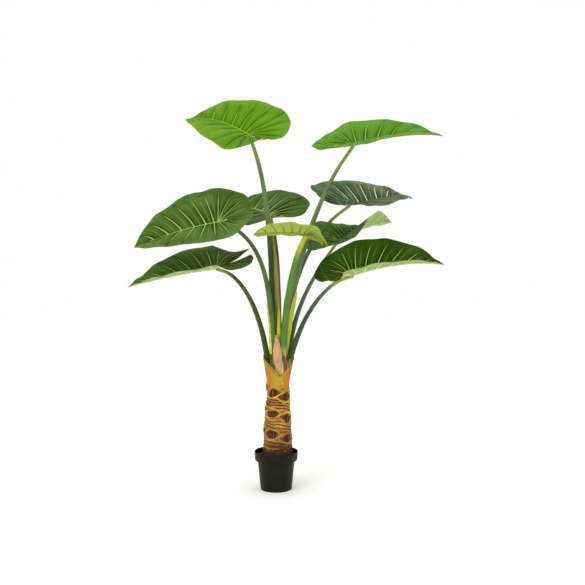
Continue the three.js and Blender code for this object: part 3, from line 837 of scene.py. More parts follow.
@dataclass(frozen=True)
class StalkFinish:
    """A stalk's colours: its body, the yellower neck, the part low down, and the pale foot in the crown."""

    name: str
    slot: str = "stalk"
    body: str = "#4a6339"
    deep: str = "#2b4022"
    neck: str = "#a0aa22"
    low: str = "#37481a"
    foot: str = "#8f9440"
    neck_length: float = 0.05
    low_length: float = 0.25
    foot_length: float = 0.03

    def material(self) -> bpy.types.Material:
        """Green with fine lengthwise streaks, shading into the colours of its neck, lower part and foot.

        Returns:
            The material, made once for each finish.
        """
        if self.name in bpy.data.materials:
            return bpy.data.materials[self.name]
        graph = Graph(self.name)
        below, above = graph.attribute("below"), graph.attribute("above")
        streak = graph.noise(graph.around(9.0, 5.0), 1.0, 4.0, 0.6)
        fine = graph.noise(graph.around(28.0, 16.0), 1.0, 3.0, 0.6)
        blotch = graph.noise(graph.place(), 22.0, 3.0)
        stray = streak - 0.5
        neck = 1.0 - (below + stray * 0.05).step(self.neck_length * 0.4, self.neck_length * 1.5)
        low = 1.0 - (above + stray * 0.2).step(self.low_length * 0.4, self.low_length * 1.6)
        foot = 1.0 - (above + stray * 0.04).step(self.foot_length * 0.6, self.foot_length * 1.7)
        color = Paint(graph, self.body).covered(self.low, low * 0.85)
        color = color.covered(self.deep, (streak * 0.7 + blotch * 0.5).step(0.5, 0.85) * 0.8)
        color = color.covered(self.neck, neck * 0.9).covered(self.foot, foot * 0.85)
        color = color.covered(self.deep, fine.step(0.58, 0.75) * 0.35)
        rough = 0.45 + stray * 0.2
        return graph.finish(color, rough, streak * 0.6 + fine * 0.4, 0.0008, 0.12)


@dataclass(frozen=True)
class LeafStalk:
    """One leaf's stalk: a round tube along a cubic curve from the trunk's cup to the blade's underside."""

    name: str
    shape: LeafShape
    finish: StalkFinish
    seed: int = 1
    sides: int = 48
    rows: int = 150

    FOOT_Z = 0.4523
    STATIONS = (0.0, 0.15, 0.5, 1.0)
    SOFTEN = 0.06
    CURVE_STEPS = 600
    CAP_STEPS = 5
    CAP_RISE = 0.55
    SUNK = 0.8
    MIDDLE_X = 0.008
    CHANNEL = 0.13
    FINE_RIBS = 0.35 * MM
    BROAD_RIBS = 0.5 * MM

    def length_and_path(self, s: Array) -> tuple[float, Array, Array]:
        """The stalk's centre line: a cubic Bezier curve read at even lengths.

        Args:
            s: Places along it, from 0 at the foot to 1 at the blade.

        Returns:
            Its length in metres, the centres, and the directions along it.
        """
        shape = self.shape
        corners = np.array([(*shape.foot, self.FOOT_Z), shape.lower, shape.upper, shape.attach])
        t = np.linspace(0, 1, self.CURVE_STEPS)[:, None]
        weights = np.concatenate([(1 - t)**3, 3 * t * (1 - t)**2, 3 * t**2 * (1 - t), t**3], 1)
        curve = weights @ corners
        lengths = np.concatenate([[0], np.cumsum(np.linalg.norm(np.diff(curve, axis=0), axis=1))])
        centres = np.stack([np.interp(s * lengths[-1], lengths, curve[:, k]) for k in range(3)], -1)
        ways = unit(np.gradient(curve, axis=0))
        ways = np.stack([np.interp(s * lengths[-1], lengths, ways[:, k]) for k in range(3)], -1)
        return lengths[-1], centres, unit(ways)

    def radius(self, s: Array) -> Array:
        """The stalk's radius: straight runs between its stations, with their corners averaged away."""
        shifts = (-self.SOFTEN, 0, self.SOFTEN)
        return sum(np.interp(s + shift, self.STATIONS, self.shape.radii) for shift in shifts) / 3

    def skin(self, s: Array, angle: Array, stand: Array | float = 0.0) -> Array:
        """Points on the stalk's skin or above it.

        The frame across the stalk keeps angle 0 at the right and -90 degrees at the front. Low down, the
        side that faces the plant's middle has a shallow channel, and lengthwise ribs make the skin uneven.

        Args:
            s: Places along the stalk.
            angle: Angles round it, in radians.
            stand: How far above the skin, in metres.

        Returns:
            The points.
        """
        _, centres, ways = self.length_and_path(s)
        right = unit(np.cross([0.0, 1.0, 0.0], ways))
        back = np.cross(ways, right)
        out = self.shape.directions()[2]
        radius = self.radius(s)
        centres = centres - (self.SUNK * self.shape.radii[3] * step(0.85, 1.0, s))[..., None] * out
        inward = math.atan2(-self.shape.foot[1], self.MIDDLE_X - self.shape.foot[0])
        channel = hump(turn_between(angle, inward), 0, 0.45) * step(0.5, 0.15, s)
        turns = angle / (2 * math.pi)
        ribs = self.FINE_RIBS * cloud(turns, s, (22, 10), self.seed)
        ribs = ribs + self.BROAD_RIBS * cloud(turns, s, (5, 9), self.seed + 3)
        reach = radius * (1 - self.CHANNEL * channel) + ribs * step(1.0, 0.9, s) + stand
        rightward, backward = reach * np.cos(angle), reach * np.sin(angle)
        return centres + rightward[..., None] * right + backward[..., None] * back

    def build(self) -> None:
        """Builds the tube, with a flat foot in the cup and a rounded top that meets the blade's midrib."""
        surface = Surface()
        s, turn = grid(np.linspace(0, 1, self.rows), np.arange(self.sides) / self.sides)
        points = self.skin(s, 2 * math.pi * turn)
        length, centres, ways = self.length_and_path(np.array([0.0, 1.0]))
        top = points[-1:].mean(1, keepdims=True)
        bend = np.linspace(0, math.pi / 2, self.CAP_STEPS + 1)[1:, None, None]
        rise = self.CAP_RISE * self.shape.radii[3] * ways[1]
        cap = top + (points[-1:] - top) * np.cos(bend) + rise * np.sin(bend)
        foot = np.repeat(points[:1].mean(1, keepdims=True), self.sides, 1)
        foot[..., 2] = points[0, :, 2].mean()
        points = np.concatenate([foot, points, cap])
        places = np.concatenate([[0.0], s[:, 0], np.ones(self.CAP_STEPS)])[:, None]
        uv = (np.broadcast_to(turn[:1], points.shape[:2]), places * length)
        values = {"below": (1 - places) * length, "above": places * length}
        surface.add(points, uv, values, flip=True, wrap=True)
        piece = surface.build(f"petiole_{self.name}")
        settle(piece, self.finish.material(), [f"stalk_{self.name}"])


class SheathLook(Enum):
    """What a wrapped leaf base looks like: fresh and yellow, green, or dried to paper."""

    YELLOW = ("sheath_yellow", "stalk", "#bcbe1a", "#8a9a16", "#cfc85a")
    GREEN = ("sheath_green", "stalk", "#3c5c2c", "#263c18", "#5c7434")
    DRY = ("sheath_dry", "dry_sheath", "#b09a58", "#7c6a32", "#4a4018")

    def __init__(self, title: str, slot: str, light: str, deep: str, edge: str) -> None:
        """Keeps a look's name, slot and colours.

        Args:
            title: The material's name.
            slot: The name of a material slot for the look.
            light: The colour of most fibres.
            deep: The colour of the darker fibres.
            edge: The colour along the two edges.
        """
        self.title = title
        self.slot = slot
        self.light = light
        self.deep = deep
        self.edge = edge

    def material(self) -> bpy.types.Material:
        """Lengthwise fibres in two shades, with an edge of its own colour.

        Returns:
            The material, made once for each look.
        """
        if self.title in bpy.data.materials:
            return bpy.data.materials[self.title]
        graph = Graph(self.title)
        edge = graph.attribute("edge")
        fibre = graph.noise(graph.chart((14.0, 14.0, 1.0)), 1.0, 4.0, 0.6)
        fine = graph.noise(graph.chart((60.0, 40.0, 1.0)), 1.0, 3.0)
        color = Paint(graph, self.light).covered(self.deep, fibre.step(0.4, 0.75) * 0.8)
        color = color.covered(self.edge, (edge + (fibre - 0.5) * 0.3).step(0.75, 0.98) * 0.8)
        relief = fibre * 0.6 + fine * 0.4
        return graph.finish(color, 0.5 + (fine - 0.5) * 0.3, relief, 0.0008, 0.12)


@dataclass(frozen=True)
class Sheath:
    """A leaf base that still wraps part of a stalk, ending in a point above."""

    name: str
    stalk: LeafStalk
    look: SheathLook
    facing: float
    half_angle: float
    start: float
    end: float
    stand: float = 0.003
    taper: float = 2.0
    thickness: float = 0.9 * MM
    clear: float = 0.7 * MM
    sink: float = 0.5 * MM
    flutter: float = 0.6 * MM
    rows: int = 90
    columns: int = 25
    seed: int = 5

    def build(self) -> None:
        """Builds the strip: its half angle shrinks upwards by a power, and its edges stand off the stalk."""
        q, u = grid(np.linspace(0, 1, self.rows), np.linspace(-1, 1, self.columns))
        s = self.start + (self.end - self.start) * q
        ragged = 1 + 0.08 * cloud(0.5 * u / 2 + 0.5, q, (4, 12), self.seed)
        spread = np.sqrt(np.clip(1 - q**self.taper, 0, 1)) * ragged
        angle = np.radians(self.facing + self.half_angle * spread * u)
        lifted = self.stand * np.abs(u)**2.5 * np.sqrt(np.clip(1 - q**3, 0, 1)) + self.clear
        lifted = lifted + self.flutter * cloud(u / 2 + 0.5, q, (6, 14), self.seed + 1) * np.abs(u)
        outer = self.stalk.skin(s, angle, lifted + self.thickness)
        inner = self.stalk.skin(s, angle, lifted - self.sink)
        length = self.stalk.length_and_path(np.array([1.0]))[0]
        surface = Surface()
        surface.add_plate(outer, inner, (angle, s * length), {"edge": np.abs(u)})
        settle(surface.build(f"sheath_{self.name}"), self.look.material())


# Trunk


@dataclass(frozen=True)
class BarkFinish:
    """The colours of the trunk's crests, creases, buds, orange wall, lime band, foot, rim and cup."""

    name: str = "trunk_bark"
    slot: str = "trunk_bark"
    slope: str = "#a8842a"
    # The flank and crease colours are painted shade, darker the lower a point lies in the folds; the crest's
    # yellow is partly the bark's colour and partly painted highlight
    flank_shade: str = "#a05f2c"
    crease: str = "#3e1c10"
    crest: str = "#d8c23a"
    olive: str = "#93952a"
    rust: str = "#9c4a2a"
    low: str = "#5c4028"
    socket: str = "#84502e"
    lime: str = "#9c942a"
    orange: tuple[str, str, str] = ("#be6a1c", "#d29a5a", "#8f4a1e")
    # The foot's pale third colour is painted highlight in specks
    base: tuple[str, str, str] = ("#54301f", "#2f1812", "#b98a7a")
    # The bud's second colour is painted highlight along its ribs, and its third is painted highlight in
    # specks
    bud: tuple[str, str, str] = ("#3a1a19", "#7a4640", "#9a6a62")
    rim: tuple[str, str] = ("#948a2c", "#5f4a1c")
    # The cup's floor colour is painted shade deep inside the cup, giving way to the tan wall towards the rim
    cup: tuple[str, str] = ("#24160c", "#a98355")
    depth: float = 1.2 * MM
    gloss: float = 0.1

    MARKS = ("ridge", "socket", "bud", "ring", "orange", "lime", "base", "rim", "low", "within")

    def material(self) -> bpy.types.Material:
        """Ochre with yellow crests, partly the bark's colour and partly painted highlight, over darker
        red-brown flanks and dark creases that are painted shade, with orange and lime parts and dark maroon
        buds.

        Returns:
            The material. It reads the marks that the trunk's mesh carries.
        """
        graph = Graph(self.name)
        mark = {key: graph.attribute(key) for key in self.MARKS}
        blotch = graph.noise(graph.place(), 45.0, 4.0, 0.6)
        patchy = graph.noise(graph.place((1.0, 1.0, 2.2)), 21.0, 3.0, 0.6)
        speck = graph.noise(graph.place(), 260.0, 3.0, 0.6)
        streak = graph.noise(graph.around(6.0, 260.0), 1.0, 3.0, 0.6)
        grain = graph.noise(graph.around(26.0, 30.0), 1.0, 4.0, 0.65)
        crest = mark["ridge"] + (blotch - 0.5) * 0.5 + (streak - 0.5) * 0.3
        skin = 1.0 - mark["orange"].math("MAXIMUM", mark["socket"])
        # Painted shade: redder flanks and dark creases where the folds are low; painted highlight mixed with
        # the bark's own yellow on the crests
        color = Paint(graph, self.slope).covered(self.flank_shade, (1.0 - crest.step(0.25, 0.56)) * 0.9)
        color = color.covered(self.crease, 1.0 - crest.step(0.08, 0.38))
        color = color.covered(self.crest, crest.step(0.52, 0.85) * (speck * 0.8 + 0.5))
        color = color.covered(self.olive, patchy.step(0.5, 0.66) * crest.step(0.4, 0.8) * 0.7)
        color = color.covered(self.rust, patchy.step(0.46, 0.34) * skin * 0.6)
        color = color.covered(self.low, mark["low"] * (0.1 + blotch * 0.5) * skin)
        color = color.covered(self.socket, mark["socket"] * (0.3 + blotch * 0.6))
        plain, pale, dark = self.orange
        orange = Paint(graph, plain).covered(pale, grain.step(0.52, 0.72) * 0.8)
        color = color.covered(orange.covered(dark, speck.step(0.6, 0.72) * 0.7), mark["orange"])
        color = color.covered(self.lime, mark["lime"] * (0.4 + speck * 0.7) * (1.0 - mark["socket"] * 0.8))
        # The foot: red-brown with darker grain, and pale specks of painted highlight
        plain, dark, pale = self.base
        base = Paint(graph, plain).covered(dark, grain.step(0.42, 0.6))
        color = color.covered(base.covered(pale, speck.step(0.6, 0.72) * 0.6), mark["base"])
        plain, dark = self.rim
        flap = Paint(graph, plain).covered(dark, streak.step(0.42, 0.66) * 0.8)
        color = color.covered(flap, mark["rim"] * 0.95)
        # Painted highlight along the bud's ribs and in specks over it
        plain, ribs, highlight_specks = self.bud
        bud = Paint(graph, plain).covered(ribs, mark["ring"].step(0.55, 0.95) * (0.4 + speck * 0.8))
        color = color.covered(bud.covered(highlight_specks, speck.step(0.62, 0.74) * 0.6), mark["bud"])
        # Painted shade: the cup darkens from its tan wall near the rim down to its floor
        floor, wall = self.cup
        cup = Paint(graph, floor).covered(wall, mark["within"].step(0.35, 0.95))
        color = color.covered(cup, mark["within"].step(0.02, 0.1))
        relief = speck * 0.5 + streak * 0.3 + grain * 0.2
        return graph.finish(color, 0.5 + (speck - 0.5) * 0.25, relief, self.depth, self.gloss)


@dataclass(frozen=True)
class Trunk:
    """The trunk: old leaf bases as folds round a spiral of buds, and a cup that the stalks stand in."""

    finish: BarkFinish = BarkFinish()
    foot_z: float = 0.060
    soil_line: float = 0.125
    straight_z: float = 0.300
    lean_z: float = 0.138
    rim_z: float = 0.521
    cup_floor_z: float = 0.452
    cup_wall: float = 0.003
    axis_x: float = 0.005
    lean_x: float = 0.005
    notch_depth: float = 0.064
    notch_azimuth: float = -80.0
    notch_half_angle: float = 75.0
    rim_wave: float = 0.005
    lip_wall: float = 0.0015
    bud_top_z: float = 0.404
    bud_rise: float = -0.0162
    bud_start: float = 172.0
    bud_turn: float = 72.0
    bud_radius: float = 0.015
    bud_height: float = 0.007
    rib_height: float = 0.0005
    eye_half_width: float = 0.036
    eye_half_height: float = 0.021
    eye_stray: tuple[float, float] = (0.0024, 0.0028)
    sway: tuple[float, float] = (0.010, 0.005)
    columns: int = 240
    buried_rows: int = 6
    low_rows: int = 135
    high_rows: int = 170
    wall_rows: int = 16
    seed: int = 40

    PROFILE = np.array([
        [0.060, 0.054], [0.138, 0.054], [0.160, 0.055], [0.213, 0.0525], [0.281, 0.049], [0.345, 0.0445],
        [0.387, 0.0415], [0.420, 0.0435], [0.450, 0.0485], [0.490, 0.055], [0.521, 0.0595],
    ])
    BUD_HUMPS = (1, 1, 1, 2, 1, 2, 3, 1, 2, 1, 1, 2, 1, 2, 1)
    HUMP_SIZES = (1.0, 0.76, 0.62)
    HUMP_SPREADS = (0.0, 0.6, 0.76)
    WRINKLE_GAP = 0.0165
    NOISE_HEIGHT = 0.53
    CUP_Z = 0.44
    SMOOTHING = (-12 * MM, 0.0, 12 * MM)
    # How far each kind of relief stands out, or the sockets lie in, in millimetres
    LID, WRINKLE, SOCKET, ROOT, ROUGH, CREASE, LIP, FLAP = 3.2, 4.4, 2.0, 4.5, 0.6, 1.2, 1.0, 3.5

    def girth(self, z: Array) -> Array:
        """The trunk's plain radius at a height: straight runs, averaged over 24 mm."""
        z_places, radii = self.PROFILE.T
        return sum(np.interp(z + shift, z_places, radii) for shift in self.SMOOTHING) / 3

    def rim(self, azimuth: Array) -> Array:
        """The cup's rim: level, with a V-shaped notch at the front and three slow waves.

        Args:
            azimuth: Angles round the trunk.

        Returns:
            The rim's height at each angle.
        """
        off = np.abs(turn_between(azimuth, math.radians(self.notch_azimuth)))
        off = off / math.radians(self.notch_half_angle)
        notch = self.notch_depth * np.clip(1 - off, 0, None)
        return self.rim_z - notch - self.rim_wave * (1 - np.cos(3 * azimuth)) / 2

    def folds(self, azimuth: Array, z: Array) -> dict[str, Array]:
        """The folds, wrinkles and buds.

        Each bud lies in an eye: two lids where the height over the bud is plus or minus one less the square
        of the way across, tilted and widened by a seeded draw and frayed by noise. Rounded wrinkles with
        narrow creases run round the trunk between the eyes, bent away from each bud, and finer ones ride on
        them. A bud has one, two or three oval domes side by side, each with a few ribs.

        Args:
            azimuth: Angles round the trunk.
            z: Heights.

        Returns:
            Heights of the lids, wrinkles, plain parts, sockets, buds and ribs, each from 0 to 1.
        """
        girth, turns, high = self.girth(z), azimuth / (2 * math.pi), z / self.NOISE_HEIGHT
        aside = self.eye_stray[0] * cloud(turns, high, (17, 30), self.seed + 10)
        above = self.eye_stray[1] * cloud(turns, high, (13, 34), self.seed + 11)
        frayed = 0.7 + 0.45 * cloud(turns, high, (15, 24), self.seed + 12)
        draws = np.random.default_rng(self.seed).uniform(-1, 1, (len(self.BUD_HUMPS), 2))
        lid, socket, bud, rib, bend = (np.zeros_like(z) for _ in range(5))
        for k, (count, (tilt, grow)) in enumerate(zip(self.BUD_HUMPS, draws)):
            across = turn_between(azimuth, math.radians(self.bud_start + self.bud_turn * k)) * girth + aside
            up = z - (self.bud_top_z + self.bud_rise * k) + above - 0.16 * tilt * across
            u, v = across / (self.eye_half_width * (1 + 0.1 * grow)), up / self.eye_half_height
            inside = np.clip(1 - u * u, 0, None) - np.abs(v)
            lid = np.maximum(lid, hump(inside, -0.02, 0.17) * step(1.8, 1.0, np.abs(u)) * frayed)
            socket = np.maximum(socket, step(0.12, 0.7, inside))
            around = np.exp(-u * u / 1.3 - 0.7 * np.abs(v))
            bend = bend + self.eye_half_height * 0.9 * np.tanh(2.5 * v) * around
            radius, spread = self.bud_radius * self.HUMP_SIZES[count - 1], self.HUMP_SPREADS[count - 1]
            for place in np.linspace(-spread, spread, count):
                offset = across - place * self.bud_radius
                far = np.hypot(offset, up / 1.18) / radius
                dome = np.sqrt(np.clip(1 - far**2.6, 0, 1)) * (0.55 + 0.45 * self.HUMP_SIZES[count - 1])
                bud = np.maximum(bud, dome)
                rib = np.maximum(rib, (0.5 + 0.5 * np.cos(offset / radius * 7.5)) * step(1.0, 0.7, far))
        sway = self.sway[0] * cloud(turns, high, (5, 9), self.seed)
        sway = sway + self.sway[1] * cloud(turns, high, (13, 22), self.seed + 3)
        phase = (z - bend + sway) / self.WRINKLE_GAP
        strength = 0.55 + 0.45 * cloud(turns, high, (9, 20), self.seed + 1)
        fine = np.abs(np.sin(math.pi * (2.7 * phase + cloud(turns, high, (11, 40), self.seed + 8))))
        folded = step(0.416, 0.388, z) * step(0.146, 0.176, z)
        wrinkle = np.abs(np.sin(math.pi * phase)) ** 0.9 * strength * (0.65 + 0.35 * fine)
        wrinkle = wrinkle * (1 - socket) * folded
        return {"lid": lid, "wrinkle": wrinkle, "plain": 0.62 * (1 - folded), "socket": socket, "bud": bud,
                "ring": rib * (bud > 0)}

    def patches(self, azimuth: Array, z: Array, rim: Array) -> dict[str, Array]:
        """Where the trunk's colours lie: orange patches and a lime band in the cup's wall, and the red foot.

        Args:
            azimuth: Angles round the trunk.
            z: Heights.
            rim: The rim's height over each point.

        Returns:
            Masks from 0 to 1.
        """
        degrees = np.degrees(turn_between(azimuth, 0.0))
        turns, high, up = azimuth / (2 * math.pi), z / self.NOISE_HEIGHT, z - self.CUP_Z
        stray = 0.25 * cloud(turns, high, (19, 26), self.seed + 2)
        left = step(-172, -150, degrees) * step(-98, -114, degrees + 260 * up + 30 * stray)
        right = step(-74, -60, degrees + 160 * up + 30 * stray) * step(8, -14, degrees)
        rear = step(60, 78, degrees) * step(140, 118, degrees)
        flap = 4 * MM + 13 * MM * step(-70, -105, degrees) * step(-178, -160, degrees)
        orange = np.maximum(np.maximum(left, right), rear) * step(0.382, 0.402, z + 0.04 * stray)
        orange = orange * step(0, 0.010, rim - z - flap + 0.02 * stray)
        band = hump(degrees + 84 + 420 * (0.47 - z), 0, 15) * step(0.375, 0.40, z)
        waves = hump(z, 0.393 + 0.004 * np.sin(3 * azimuth + 1), 0.006)
        return {"orange": np.clip(orange + stray * orange, 0, 1), "lime": np.clip(band + waves, 0, 1),
                "base": step(0.176, 0.160, z + 0.05 * stray), "rim": step(3 * MM, -3 * MM, rim - z - flap),
                "low": step(0.33, 0.19, z), "flap": hump(rim - z, 0.6 * flap, 0.9 * flap) * flap / (17 * MM)}

    def build(self) -> None:
        """Builds the trunk from its foot in the soil up to the rim and down the cup's inner wall."""
        turn = np.arange(self.columns) / self.columns
        azimuth = 2 * math.pi * turn
        rim = self.rim(azimuth)
        buried = np.linspace(self.foot_z, self.soil_line, self.buried_rows)[:-1, None]
        low = np.linspace(self.soil_line, self.straight_z, self.low_rows)[:-1, None]
        high = self.straight_z + np.linspace(0, 1, self.high_rows)[:, None] * (rim - self.straight_z)
        z = np.concatenate([np.repeat(buried, self.columns, 1), np.repeat(low, self.columns, 1), high])
        azimuth_grid = np.broadcast_to(azimuth, z.shape)
        rim_grid = np.broadcast_to(rim, z.shape)
        folds, patches = self.folds(azimuth_grid, z), self.patches(azimuth_grid, z, rim_grid)
        turns, noise_z = azimuth_grid / (2 * math.pi), z / self.NOISE_HEIGHT
        roots = np.abs(cloud(turns, noise_z, (30, 12), self.seed + 4)) * patches["base"]
        rough = cloud(turns, noise_z, (60, 110), self.seed + 5)
        crease = cloud(turns + 0.25 * (z - self.CUP_Z), noise_z, (30, 6), self.seed + 6) * step(0.40, 0.42, z)
        relief = (self.LID * folds["lid"] + self.WRINKLE * folds["wrinkle"] - self.SOCKET * folds["socket"]
                  + self.ROOT * roots + self.ROUGH * rough + self.CREASE * crease
                  + self.LIP * hump(rim_grid - z, 2 * MM, 4 * MM) + self.FLAP * patches.pop("flap")) * MM
        relief = relief + self.bud_height * folds["bud"] + self.rib_height * folds["ring"]
        reach = self.girth(z) + relief * step(self.soil_line - 0.02, self.soil_line, z)
        bend = np.linspace(0, math.pi, 7)[1:-1, None]
        inner_top = reach[-1] - self.cup_wall - self.lip_wall
        middle, half = (reach[-1] + inner_top) / 2, (reach[-1] - inner_top) / 2
        lip_reach, lip_z = middle + half * np.cos(bend), rim + half * np.sin(bend)
        fall = np.linspace(0, 1, self.wall_rows)[:, None]
        wall_z = rim + fall * (self.cup_floor_z - rim)
        wall_reach = np.minimum(self.girth(wall_z) - self.cup_wall, inner_top + fall)
        rows = (len(z), len(bend), len(fall))
        all_z = np.concatenate([np.full((1, self.columns), self.foot_z), z, lip_z, wall_z,
                                np.full((1, self.columns), self.cup_floor_z)])
        all_reach = np.concatenate([np.zeros((1, self.columns)), reach, lip_reach, wall_reach,
                                    np.zeros((1, self.columns))])
        lean = self.axis_x + self.lean_x * np.clip((all_z - self.lean_z) / (self.rim_z - self.lean_z), 0, 1)
        points = np.stack([lean + all_reach * np.cos(azimuth), all_reach * np.sin(azimuth), all_z], -1)
        ridge = np.clip(np.maximum(np.maximum(folds["lid"], folds["wrinkle"]), folds["plain"]), 0, 1)
        marks = {"ridge": ridge, "socket": folds["socket"], "bud": step(0.15, 0.45, folds["bud"]),
                 "ring": folds["ring"], **patches}
        values = {}
        for name, mask in marks.items():
            last = np.ones((rows[1], self.columns)) if name == "rim" else np.zeros((rows[1], self.columns))
            inside = np.zeros((rows[2] + 1, self.columns))
            values[name] = np.concatenate([mask[:1], mask, last, inside])
        # The cup's inside: 1 at the rim, falling to 0.25 at its floor; the material paints shade where it is
        # low
        within = np.zeros_like(all_z)
        within[1 + rows[0] + rows[1]:-1] = 1 - 0.75 * fall
        within[-1] = 0.25
        values["within"] = within
        surface = Surface()
        uv = (np.broadcast_to(turn, all_z.shape), all_z)
        surface.add(points, uv, values, flip=True, wrap=True)
        settle(surface.build("trunk_bark"), self.finish.material(), ["trunk"])


# Dried leaf bases


@dataclass(frozen=True)
class FibreFinish:
    """The colours of dry lengthwise fibres: most of them, the darker ones, and the edges and tip."""

    light: str
    deep: str
    edge: str
    depth: float = 0.9 * MM
    gloss: float = 0.25

    def material(self, name: str) -> bpy.types.Material:
        """Dry lengthwise fibres in two shades, with another along the edges and at the tip.

        Args:
            name: The piece that it is for.

        Returns:
            The material.
        """
        graph = Graph(f"{name}_fibres")
        edge, high = graph.attribute("edge"), graph.attribute("high")
        fibre = graph.noise(graph.chart((420.0, 30.0, 1.0)), 1.0, 4.0, 0.6)
        blotch = graph.noise(graph.place(), 60.0, 3.0)
        dark = (fibre * 0.7 + blotch * 0.4).step(0.5, 0.68) * 0.85
        color = Paint(graph, self.light).covered(self.deep, dark)
        worn = (edge + (fibre - 0.5) * 0.8).step(0.78, 1.0) * 0.8 + high.step(0.93, 1.0) * 0.6
        return graph.finish(color.covered(self.edge, worn), 0.75, fibre, self.depth, self.gloss)


@dataclass(frozen=True)
class DriedBase:
    """A dried leaf base that stands in the cup: a bowed papery plate with curled edges.

    Each station up its middle is a height, a place to the right, a distance to the front and half a width.
    """

    name: str
    node: str
    slot: str
    axis_x: float
    stations: tuple[tuple[float, float, float, float], ...]
    finish: FibreFinish
    bow: float = 0.005
    thickness: float = 1.2 * MM
    fibres: int = 9
    depth: float = 1.1 * MM
    rolled: float = 1.8 * MM
    rows: int = 110
    columns: int = 41
    seed: int = 60

    def build(self) -> None:
        """Builds the plate: smooth stations up its middle, bowed across, with folds and rolled edges."""
        stations = np.array(self.stations)
        s, u = grid(np.linspace(0, 1, self.rows), np.linspace(-1, 1, self.columns))
        z, across, out, half = (spline(stations[:, k], s * (len(stations) - 1)) for k in range(4))
        ragged = 1 + 0.10 * cloud(0.25 * np.sign(u) + 0.5, s, (4, 16), self.seed)
        pleat = self.depth * cloud(u / 2.2 + 0.5, s, (self.fibres, 5), self.seed + 1)
        pleat = pleat + 0.5 * self.depth * cloud(u / 2.2 + 0.5, s, (3 * self.fibres, 8), self.seed + 2)
        roll = self.rolled * np.abs(u)**6
        x = self.axis_x + across + u * half * ragged
        y = -out + self.bow * u * u + pleat - roll
        front = np.stack([x, y - self.thickness / 2, z], -1)
        rear = np.stack([x, y + self.thickness / 2, z], -1)
        surface = Surface()
        surface.add_plate(front, rear, (u * half, z), {"edge": np.abs(u), "high": s})
        nodes = [self.node] if self.node else []
        settle(surface.build(self.name), self.finish.material(self.name), nodes)


DRY_SHEATH = DriedBase("papery_sheath", "dry_sheath", "dry_sheath", 0.006, (
    (0.453, 0.006, 0.0438, 0.009), (0.480, 0.006, 0.0457, 0.016), (0.505, 0.004, 0.048, 0.0175),
    (0.538, 0.002, 0.0535, 0.0180), (0.570, -0.002, 0.055, 0.0145), (0.597, -0.004, 0.055, 0.009),
    (0.617, -0.007, 0.054, 0.002)), FibreFinish("#c49a6a", "#94683e", "#5c3c24"))
HUSK = DriedBase("fibrous_husk", "husk", "husk", 0.031, (
    (0.453, 0.001, 0.039, 0.006), (0.478, 0.003, 0.0425, 0.012), (0.505, 0.002, 0.0475, 0.0125),
    (0.530, -0.003, 0.050, 0.008), (0.552, -0.008, 0.0515, 0.0015)),
    FibreFinish("#7c5a44", "#38241a", "#b39678"), fibres=15, depth=1.8 * MM)
WING = DriedBase("yellow_wing", "", "stalk", 0.0, (
    (0.470, 0.0115, 0.033, 0.006), (0.540, 0.0120, 0.037, 0.0085), (0.610, 0.0120, 0.041, 0.0080),
    (0.680, 0.0115, 0.045, 0.0055), (0.745, 0.0120, 0.047, 0.0012)),
    FibreFinish("#bcbe20", "#879416", "#7f9414"), bow=0.004, depth=0.8 * MM)
LEFT_HUSK = DriedBase("left_husk", "", "husk", -0.0145, (
    (0.470, 0.003, 0.0400, 0.006), (0.500, 0.001, 0.0415, 0.008), (0.530, -0.001, 0.043, 0.006),
    (0.562, -0.003, 0.045, 0.001)), FibreFinish("#6e5038", "#2c1c12", "#9a7c56"), fibres=12, depth=1.6 * MM)
RIGHT_HUSK = DriedBase("right_husk", "", "husk", 0.047, (
    (0.458, 0.000, 0.031, 0.004), (0.480, 0.001, 0.032, 0.0075), (0.500, 0.003, 0.031, 0.0075),
    (0.522, 0.006, 0.029, 0.0015)), FibreFinish("#a98358", "#6e4c2e", "#5c3c24"), fibres=10)


# Pot and soil


@dataclass(frozen=True)
class PlasticFinish:
    """Black moulded plastic: its colour and its dusty bloom."""

    name: str = "pot_plastic"
    slot: str = "pot_plastic"
    body: str = "#16150f"
    bloom: str = "#24231b"
    rough: float = 0.42
    depth: float = 0.3 * MM
    gloss: float = 0.1

    def material(self) -> bpy.types.Material:
        """A soft sheen with faint flow lines, a fine grain and a cloudy bloom.

        Returns:
            The material.
        """
        graph = Graph(self.name)
        grain = graph.noise(graph.place(), 900.0, 2.0)
        cloudy = graph.noise(graph.place((1.0, 1.0, 3.0)), 14.0, 3.0)
        flow = graph.noise(graph.around(5.0, 40.0), 1.0, 2.0)
        bloom = (cloudy * 0.6 + flow * 0.4).step(0.35, 0.75) * 0.6
        color = Paint(graph, self.body).covered(self.bloom, bloom)
        rough = self.rough + (cloudy - 0.5) * 0.16
        return graph.finish(color, rough, grain * 0.3 + flow * 0.4, self.depth, self.gloss)


@dataclass(frozen=True)
class SoilFinish:
    """Dark reddish soil: its crumbs' two shades and the paler grains among them."""

    name: str = "potting_soil"
    slot: str = "soil"
    deep: str = "#2c1a15"
    light: str = "#5a352a"
    grains: str = "#8a6a52"
    rough: float = 0.95
    depth: float = 2 * MM
    gloss: float = 0.2

    def material(self) -> bpy.types.Material:
        """Dark reddish crumbs with paler grains.

        Returns:
            The material.
        """
        graph = Graph(self.name)
        crumb = graph.noise(graph.place(), 260.0, 4.0, 0.7)
        grain = graph.noise(graph.place(), 900.0, 2.0)
        color = Paint(graph, self.deep).covered(self.light, crumb.step(0.45, 0.7))
        color = color.covered(self.grains, grain.step(0.66, 0.74) * 0.6)
        return graph.finish(color, self.rough, crumb * 0.7 + grain * 0.3, self.depth, self.gloss)


